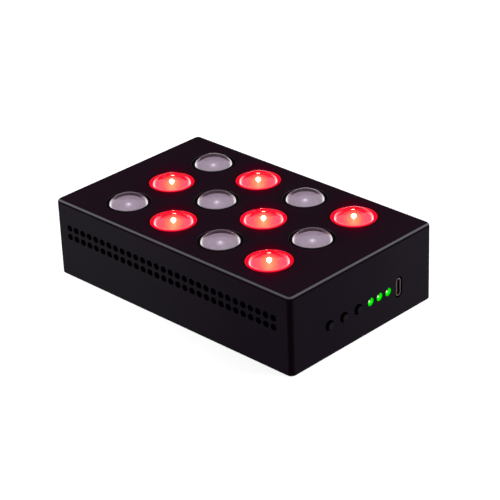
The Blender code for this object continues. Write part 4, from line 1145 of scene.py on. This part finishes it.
def make_switches(plastic, steel):
    """A moulded body with a riveted steel plate round the bore for the button's stem."""
    for name in SWITCHES:
        low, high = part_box(name)
        centre = middle_of(name)
        face = high.x - SWITCH_PLATE
        size = high.y - low.y - 2 * SWITCH_PLATE_INSET
        reach = size / 2 - 2 * RIVET_RADIUS
        body = block(bmesh.new(), low, (face, high.y, high.z), SWITCH_EDGE)
        for sy, sz in CORNERS:
            turned(body, rod(RIVET_RADIUS, 0, SWITCH_PLATE), 12,
                   along_x((face, centre.y + sy * reach, centre.z + sz * reach)))
        plate = prism(bmesh.new(), round_corners(size, size, SWITCH_EDGE, 3), SWITCH_PLATE,
                      along_x_at(name, face))
        bore = rod(BUTTON_STEM_RADIUS + GAP, -2 * BUTTON_STEM_RADIUS, OVERRUN)
        for ending, shape, finish, slot, nodes in (("_body", body, plastic, "black_plastic", [name]),
                                                   ("_plate", plate, steel, "dark_steel", [])):
            cutter = turned(bmesh.new(), bore, 32, along_x_at(name, high.x))
            piece(name + ending, carved(name, shape, ("DIFFERENCE", cutter)), finish, "case", slot, *nodes)


def make_status_lights():
    """Rods that carry the green light to the end wall, with domed tips."""
    glow = green_glow()
    for name in STATUS_LIGHTS:
        low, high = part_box(name)
        foot = (high.y - low.y) / 2
        profile = [(0, 0), (foot, 0), (foot, LIGHT_FOOT_HEIGHT), (LIGHT_RADIUS, LIGHT_FOOT_HEIGHT)]
        profile += dome(LIGHT_RADIUS, LIGHT_DOME_HEIGHT, high.x - low.x, 10)
        shape = turned(bmesh.new(), profile, 48, along_x_at(name, low.x))
        piece(name + "_pipe", shape, glow, "case", "green_light", name)


def port_outline(grow):
    """The slot shape of the charging port, made larger all round."""
    low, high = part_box("port_sleeve")
    radius = (high.y - low.y) / 2 + grow
    reach = (high.z - low.z) / 2 + grow - radius
    return arc((reach, 0), radius, -90, 90, 24) + arc((-reach, 0), radius, 90, 270, 24)


def port_prism(grow, start, depth, edge=0.0):
    """A slot-shaped length along X, from some X on."""
    return prism(bmesh.new(), port_outline(grow), depth, along_x_at("port_sleeve", start), edge)


def make_port(steel, plastic, gold):
    """A drawn metal sleeve, and in it the tongue with its contacts."""
    low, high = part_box("port_sleeve")
    sleeve = port_prism(0, low.x, high.x - low.x, PORT_WALL / 4)
    bore = port_prism(-PORT_WALL, low.x - OVERRUN, high.x - low.x + 2 * OVERRUN)
    mesh = carved("port_ring", sleeve, ("DIFFERENCE", bore))
    piece("port_ring", mesh, steel, "case", "port_steel", "port_sleeve")
    back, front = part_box("port_tongue")
    middle = middle_of("port_sleeve")
    half = Vector((0, TONGUE_WIDE / 2, TONGUE_TALL / 2))
    blade = block(bmesh.new(), Vector((back.x + PORT_BASE_DEPTH - BOND, middle.y, middle.z)) - half,
                  Vector((front.x, middle.y, middle.z)) + half, CHIP_EDGE)
    mesh = carved("port_core", port_prism(-PORT_WALL - GAP, back.x, PORT_BASE_DEPTH), ("UNION", blade))
    piece("port_core", mesh, plastic, "case", "black_plastic", "port_tongue")
    strips = bmesh.new()
    pitch = TONGUE_TALL / (CONTACT_COUNT + 1)
    end = front.x - 2 * GAP
    for number in range(CONTACT_COUNT):
        z = middle.z + (number - (CONTACT_COUNT - 1) / 2) * pitch
        for side in (-1, 1):
            y = middle.y + side * TONGUE_WIDE / 2
            block(strips, (end - CONTACT_LENGTH, y - CONTACT_THICKNESS, z - CONTACT_WIDTH / 2),
                  (end, y + CONTACT_THICKNESS, z + CONTACT_WIDTH / 2))
    piece("port_contacts", strips, gold, "case", "port_steel")


# Fan

def make_fan_frame(plastic):
    """A square frame with a round bore, struts and the fixed half of the motor."""
    low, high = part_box("fan_frame")
    centre = over("fan_frame", low.z)
    size = high.x - low.x
    thick = high.z - low.z
    body = prism(bmesh.new(), round_corners(size, size, FAN_CORNER_RADIUS, 8), thick, centre, FAN_EDGE)
    bores = turned(bmesh.new(), rod(FAN_BORE_RADIUS, -OVERRUN, thick + OVERRUN), 96, centre)
    for sx, sy in CORNERS:
        turned(bores, rod(FAN_SCREW_RADIUS + GAP, -OVERRUN, thick + OVERRUN), 32,
               centre @ Matrix.Translation((sx * FAN_HOLE_REACH, sy * FAN_HOLE_REACH, 0)))
    reach = FAN_BORE_RADIUS + BOND
    half = FAN_STRUT_WIDTH / 2
    cross = [(reach, half), (half, half), (half, reach), (-half, reach), (-half, half), (-reach, half),
             (-reach, -half), (-half, -half), (-half, -reach), (half, -reach), (half, -half), (reach, -half)]
    struts = prism(bmesh.new(), cross, FAN_PLATE, centre)
    inner, outer = STATOR_RADII
    top = FAN_PLATE + STATOR_HEIGHT
    shaft_top = thick - HUB_TOP_CLEARANCE - HUB_WALL - GAP
    stator = [(0, 0), (HUB_RADIUS, 0), (HUB_RADIUS, FAN_PLATE), (outer, FAN_PLATE), (outer, top),
              (inner, top), (inner, FAN_PLATE), (SHAFT_RADIUS, FAN_PLATE), (SHAFT_RADIUS, shaft_top),
              (0, shaft_top)]
    motor = turned(bmesh.new(), stator, 64, centre)
    mesh = carved("fan_body", body, ("DIFFERENCE", bores), ("UNION", struts), ("UNION", motor))
    piece("fan_body", mesh, plastic, "case", "black_plastic", "fan_frame")


def make_fan_rotor(plastic):
    """A cup over the motor, with a ring of blades."""
    low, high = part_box("fan_frame")
    centre = over("fan_frame", low.z)
    base = FAN_PLATE + GAP
    crown = high.z - low.z - HUB_TOP_CLEARANCE
    roof = crown - HUB_WALL
    bore = SHAFT_RADIUS + GAP
    cup = HUB_RADIUS - HUB_WALL
    profile = [(0, roof), (bore, roof), (bore, base), (HUB_BOSS_RADIUS, base), (HUB_BOSS_RADIUS, roof),
               (cup, roof), (cup, base), (HUB_RADIUS, base)]
    profile += arc((HUB_RADIUS - HUB_ROUND, crown - HUB_ROUND), HUB_ROUND, 0, 90, 5) + [(0, crown)]
    hub = turned(bmesh.new(), profile, 64, centre)
    blades = bmesh.new()
    for number in range(BLADE_COUNT):
        added(blades, fan_blade(), centre @ Matrix.Rotation(math.tau * number / BLADE_COUNT, 4, "Z"))
    mesh = carved("fan_wheel", hub, ("UNION", blades))
    piece("fan_wheel", mesh, plastic, "fan", "black_plastic", "fan_rotor")


def fan_blade():
    """One cambered blade, steeper at its root than at its tip, whose tip follows the bore."""
    bm = bmesh.new()
    bmesh.ops.create_grid(bm, x_segments=8, y_segments=8, size=0.5)
    root = HUB_RADIUS - BOND
    tip = FAN_BORE_RADIUS - BLADE_TIP_CLEARANCE
    middle = (FAN_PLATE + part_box("fan_frame")[1].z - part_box("fan_frame")[0].z) / 2
    for vert in bm.verts:
        along = vert.co.x + 0.5
        across = vert.co.y
        radius = root + along * (tip - root)
        pitch = BLADE_PITCHES[0] + along * (BLADE_PITCHES[1] - BLADE_PITCHES[0])
        camber = BLADE_CAMBER * (1 - (2 * across) ** 2)
        side = across * BLADE_CHORD * math.cos(pitch) - camber * math.sin(pitch)
        rise = across * BLADE_CHORD * math.sin(pitch) + camber * math.cos(pitch)
        vert.co = (radius * math.cos(side / radius), radius * math.sin(side / radius), middle + rise)
    bmesh.ops.solidify(bm, geom=bm.faces[:], thickness=BLADE_THICKNESS)
    return bm


# Battery, boards and leads

def make_cells():
    """Round cells in their sleeves, each with a crimped shoulder and a raised end."""
    sleeve = cell_sleeve()
    for number, name in enumerate(CELLS, 1):
        low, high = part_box(name)
        radius = (high.y - low.y) / 2
        top = high.x - low.x
        shoulder = top - CELL_NUB_HEIGHT
        groove = shoulder - CELL_GROOVE_PLACE
        inset = radius - CELL_ROUND
        profile = [(0, 0)] + arc((inset, CELL_ROUND), CELL_ROUND, 270, 360, 4)
        profile += [(radius, groove - CELL_GROOVE * 2), (radius - CELL_GROOVE, groove),
                    (radius, groove + CELL_GROOVE * 2)]
        profile += arc((inset, shoulder - CELL_ROUND), CELL_ROUND, 0, 90, 4)
        profile += [(CELL_NUB_RADIUS, shoulder), (CELL_NUB_RADIUS, top - CELL_NUB_HEIGHT / 2),
                    (CELL_NUB_RADIUS - CELL_NUB_HEIGHT / 2, top), (0, top)]
        shape = turned(bmesh.new(), profile, 64, along_x_at(name, low.x))
        piece(f"cell_{number}", shape, sleeve, "case", "cell_wrap", name)


def on_light_board(bm, x, y, size, edge=0.0):
    """Add a small part of a size to the top of the light board."""
    wide, long, tall = size
    top = led_board_high.z
    block(bm, (x - wide / 2, y - long / 2, top - BOND / 2), (x + wide / 2, y + long / 2, top + tall), edge)


def behind_control_board(bm, y, z, size, edge=0.0):
    """Add a small part of a size to the back of the control board."""
    deep, wide, tall = size
    back = control_board_low.x
    block(bm, (back - deep, y - wide / 2, z - tall / 2), (back + BOND / 2, y + wide / 2, z + tall / 2), edge)


def make_board_parts(plastic, steel):
    """Drivers and resistors between the lights, and the chips on the back of the control board."""
    bodies = bmesh.new()
    ends = bmesh.new()
    x_lines = sorted({round(middle_of(name).x, 5) for name in RED_LENSES})
    y_lines = sorted({round(middle_of(name).y, 5) for name in RED_LENSES})
    for x in [sum(pair) / 2 for pair in zip(x_lines, x_lines[1:])]:
        for y in [sum(pair) / 2 for pair in zip(y_lines, y_lines[1:])]:
            on_light_board(bodies, x, y, DRIVER_SIZE, CHIP_EDGE)
            for side in (-1, 1):
                middle = x + side * RESISTOR_OFFSET
                on_light_board(bodies, middle, y, RESISTOR_SIZE)
                for end in (-1, 1):
                    on_light_board(ends, middle, y + end * RESISTOR_END_OFFSET, RESISTOR_END_SIZE)
    for y, z, wide, tall in BACK_CHIPS:
        behind_control_board(bodies, y, z, (BACK_CHIP_DEPTH, wide, tall), CHIP_EDGE)
        for number in range(LEG_COUNT):
            leg = y + (number - (LEG_COUNT - 1) / 2) * wide / (LEG_COUNT + 1)
            for end in (-1, 1):
                behind_control_board(ends, leg, z + end * (tall / 2 + GAP), LEG_SIZE)
    piece("board_chips", bodies, plastic, "case", "black_plastic")
    piece("board_legs", ends, steel, "case", "dark_steel")


def make_link(plastic, gold):
    """The connector between the two boards, with a row of pins in its side."""
    low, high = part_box("board_link")
    body = block(bmesh.new(), low, high, CHIP_EDGE * 2)
    piece("link_body", body, plastic, "case", "black_plastic", "board_link")
    pins = bmesh.new()
    for number in range(1, PIN_COUNT + 1):
        y = low.y + number * (high.y - low.y) / (PIN_COUNT + 1)
        block(pins, (high.x - GAP, y - PIN_WIDTH / 2, low.z - GAP / 2),
              (high.x + GAP / 2, y + PIN_WIDTH / 2, high.z - PIN_TOP_CLEARANCE))
    piece("link_pins", pins, gold, "case", "port_steel")


def corners_cut(points):
    """A route whose every corner is cut off, and whose two ends stay."""
    cut = [points[0]]
    for near, far in zip(points, points[1:]):
        cut.append(near.lerp(far, CORNER_CUT_SHARE))
        cut.append(near.lerp(far, 1 - CORNER_CUT_SHARE))
    return cut + [points[-1]]


def make_lead(name, rubber, knots):
    """An insulated lead on a smooth curve, clipped between the pieces that it joins."""
    points = [Vector(knot) for knot in knots]
    for _ in range(LEAD_SMOOTHINGS):
        points = corners_cut(points)
    curve = bpy.data.curves.new(name, "CURVE")
    curve.dimensions = "3D"
    curve.bevel_depth = LEAD_RADIUS
    curve.bevel_resolution = 6
    curve.use_fill_caps = True
    spline = curve.splines.new("POLY")
    spline.points.add(len(points) - 1)
    for point, place in zip(spline.points, points):
        point.co = (*place, 1)
    route = bpy.data.objects.new(name + "_route", curve)
    bpy.context.scene.collection.objects.link(route)
    graph = bpy.context.evaluated_depsgraph_get()
    bm = bmesh.new()
    bm.from_mesh(bpy.data.meshes.new_from_object(route.evaluated_get(graph)))
    bpy.data.objects.remove(route)
    bmesh.ops.remove_doubles(bm, verts=bm.verts, dist=MERGE_DISTANCE)
    piece(name + "_tube", bm, rubber, "case", "lead_rubber", name)


def make_leads(rubber):
    """The battery's lead and the fan's lead, both to the back of the control board."""
    end = control_board_low.x - GAP
    last_bend = end - LEAD_STRAIGHT_END
    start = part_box("battery_lead")[0].x
    y = middle_of("battery_lead").y
    route = ((start, 0), (start + LEAD_STRAIGHT_END, 0), ((start + end) / 2, LEAD_SAG), (last_bend, 0),
             (end, 0))
    make_lead("battery_lead", rubber, [(x, y, BATTERY_LEAD_Z - sag) for x, sag in route])
    exit_x = middle_of("fan_frame").x
    route = ((exit_x, FAN_LEAD_EXIT_Y), (exit_x, FAN_LEAD_WALL_Y), (FAN_LEAD_WALL_X[0], FAN_LEAD_WALL_Y),
             (FAN_LEAD_WALL_X[1], FAN_LEAD_WALL_Y), (last_bend, FAN_LEAD_END_Y), (end, FAN_LEAD_END_Y))
    make_lead("fan_lead", rubber, [(x, y, FAN_LEAD_Z) for x, y in route])


# Studio

def background_seen(tree):
    """One for a ray that shows the background itself: straight, mirrored or through glass."""
    camera, glossy, through = [read(tree, "LightPath", f"Is {kind} Ray", {})
                               for kind in ("Camera", "Glossy", "Transmission")]
    return calc("MAXIMUM", calc("MAXIMUM", camera, glossy), through)


def staged(name, bm, material):
    """Show a shape as a part of the studio."""
    obj = bpy.data.objects.new(name, closed_mesh(name, bm))
    bpy.context.scene.collection.objects.link(obj)
    obj.data.materials.append(material)
    return obj


def make_floor():
    """A pale floor just under the object, clear to an eye that looks up through it."""
    material, tree, shader = new_finish("pale_floor")
    shade(shader, Base_Color=(0.6, 0.6, 0.6), Roughness=0.9, Specular_IOR_Level=0.0,
          Emission_Color=(1.0, 1.0, 1.0), Emission_Strength=background_seen(tree) * 0.6,
          Alpha=1.0 - geometry(tree, "Backfacing"))
    bm = bmesh.new()
    bmesh.ops.create_grid(bm, x_segments=1, y_segments=1, size=FLOOR_REACH,
                          matrix=Matrix.Translation((0, 0, -FLOOR_GAP)))
    staged("floor", bm, material)


def make_backdrop():
    """A black panel behind the object, seen only in its reflections."""
    material, _, shader = new_finish("backdrop")
    shade(shader, Base_Color=(0.0, 0.0, 0.0), Roughness=1.0, Specular_IOR_Level=0.0,
          Emission_Color=(0.012, 0.006, 0.010), Emission_Strength=1.0)
    bm = block(bmesh.new(), (-PANEL_WIDTH / 2, PANEL_DISTANCE, GAP),
               (PANEL_WIDTH / 2, PANEL_DISTANCE + WALL, PANEL_HEIGHT))
    bmesh.ops.transform(bm, matrix=Matrix.Rotation(SIGHT_ANGLE, 4, "Z"), verts=bm.verts)
    panel = staged("backdrop", bm, material)
    panel.visible_camera = False
    panel.visible_diffuse = False
    panel.visible_shadow = False


def make_world():
    """A white world, dimmer where it only lights the object."""
    world = bpy.data.worlds.new("studio")
    bpy.context.scene.world = world
    world.use_nodes = True
    background = world.node_tree.nodes["Background"]
    feed(background.inputs["Color"], (1.0, 1.0, 1.0))
    feed(background.inputs["Strength"], spread(background_seen(world.node_tree), 0, 1, 0.55, 1.0))


def make_lamp(name, place, size, power):
    """A softbox that looks at the object."""
    data = bpy.data.lights.new(name, "AREA")
    data.shape = "RECTANGLE"
    data.size, data.size_y = size
    data.energy = power
    lamp = bpy.data.objects.new(name, data)
    lamp.location = place
    aim = Vector((0, 0, case_high.z / 2)) - Vector(place)
    lamp.rotation_euler = aim.to_track_quat("-Z", "Y").to_euler()
    lamp.visible_camera = False
    lamp.visible_glossy = False
    lamp.visible_transmission = False
    bpy.context.scene.collection.objects.link(lamp)


def make_camera():
    """The camera, where the photograph was taken from."""
    data = bpy.data.cameras.new("camera")
    data.sensor_width = SENSOR_WIDTH
    data.lens = CAMERA_LENS
    data.clip_start = CAMERA_NEAR
    camera = bpy.data.objects.new("camera", data)
    camera.location = CAMERA_PLACE
    camera.rotation_euler = [math.radians(angle) for angle in CAMERA_TURN]
    bpy.context.scene.collection.objects.link(camera)
    bpy.context.scene.camera = camera


def make_studio():
    make_camera()
    make_world()
    make_floor()
    make_backdrop()
    for name, (place, size, power) in LAMPS.items():
        make_lamp(name, place, size, power)


def make_device():
    coat = case_coat()
    plastic = moulding("black_moulding", (0.012, 0.012, 0.013), (0.020, 0.020, 0.021), 0.5)
    steel = metal("dark_steel", (0.10, 0.10, 0.11), (0.18, 0.18, 0.19), 0.35)
    gold = metal("gold_contacts", (0.65, 0.45, 0.18), (0.80, 0.58, 0.26), 0.25)
    make_case(coat)
    make_cover(coat)
    make_screws(steel)
    make_holder(moulding("holder_plastic", (0.004,) * 3, (0.008,) * 3, 0.6, glow=True, shine=0.02))
    make_lenses()
    make_emitters()
    make_buttons(cap_coat())
    make_switches(plastic, steel)
    make_status_lights()
    make_port(port_steel(), plastic, gold)
    make_fan_frame(plastic)
    make_fan_rotor(plastic)
    make_cells()
    make_board_parts(plastic, steel)
    make_link(plastic, gold)
    make_leads(moulding("lead_rubber", (0.010, 0.010, 0.011), (0.018, 0.018, 0.019), 0.6))
    black_metal = metal("black_anodised", (0.012, 0.012, 0.014), (0.030, 0.030, 0.034), 0.42, (0.05, 1, 1))
    refinish("heat_sink", black_metal)
    black_board = circuit_board("black_board", (0.010, 0.010, 0.012), (0.026, 0.026, 0.028), glow=True)
    refinish("led_board", black_board)
    refinish("control_board", circuit_board("green_board", (0.010, 0.075, 0.030), (0.020, 0.150, 0.060)))
    refinish("battery_tray", plastic)


make_studio()
make_device()

bpy.context.scene.view_settings.view_transform = "Standard"
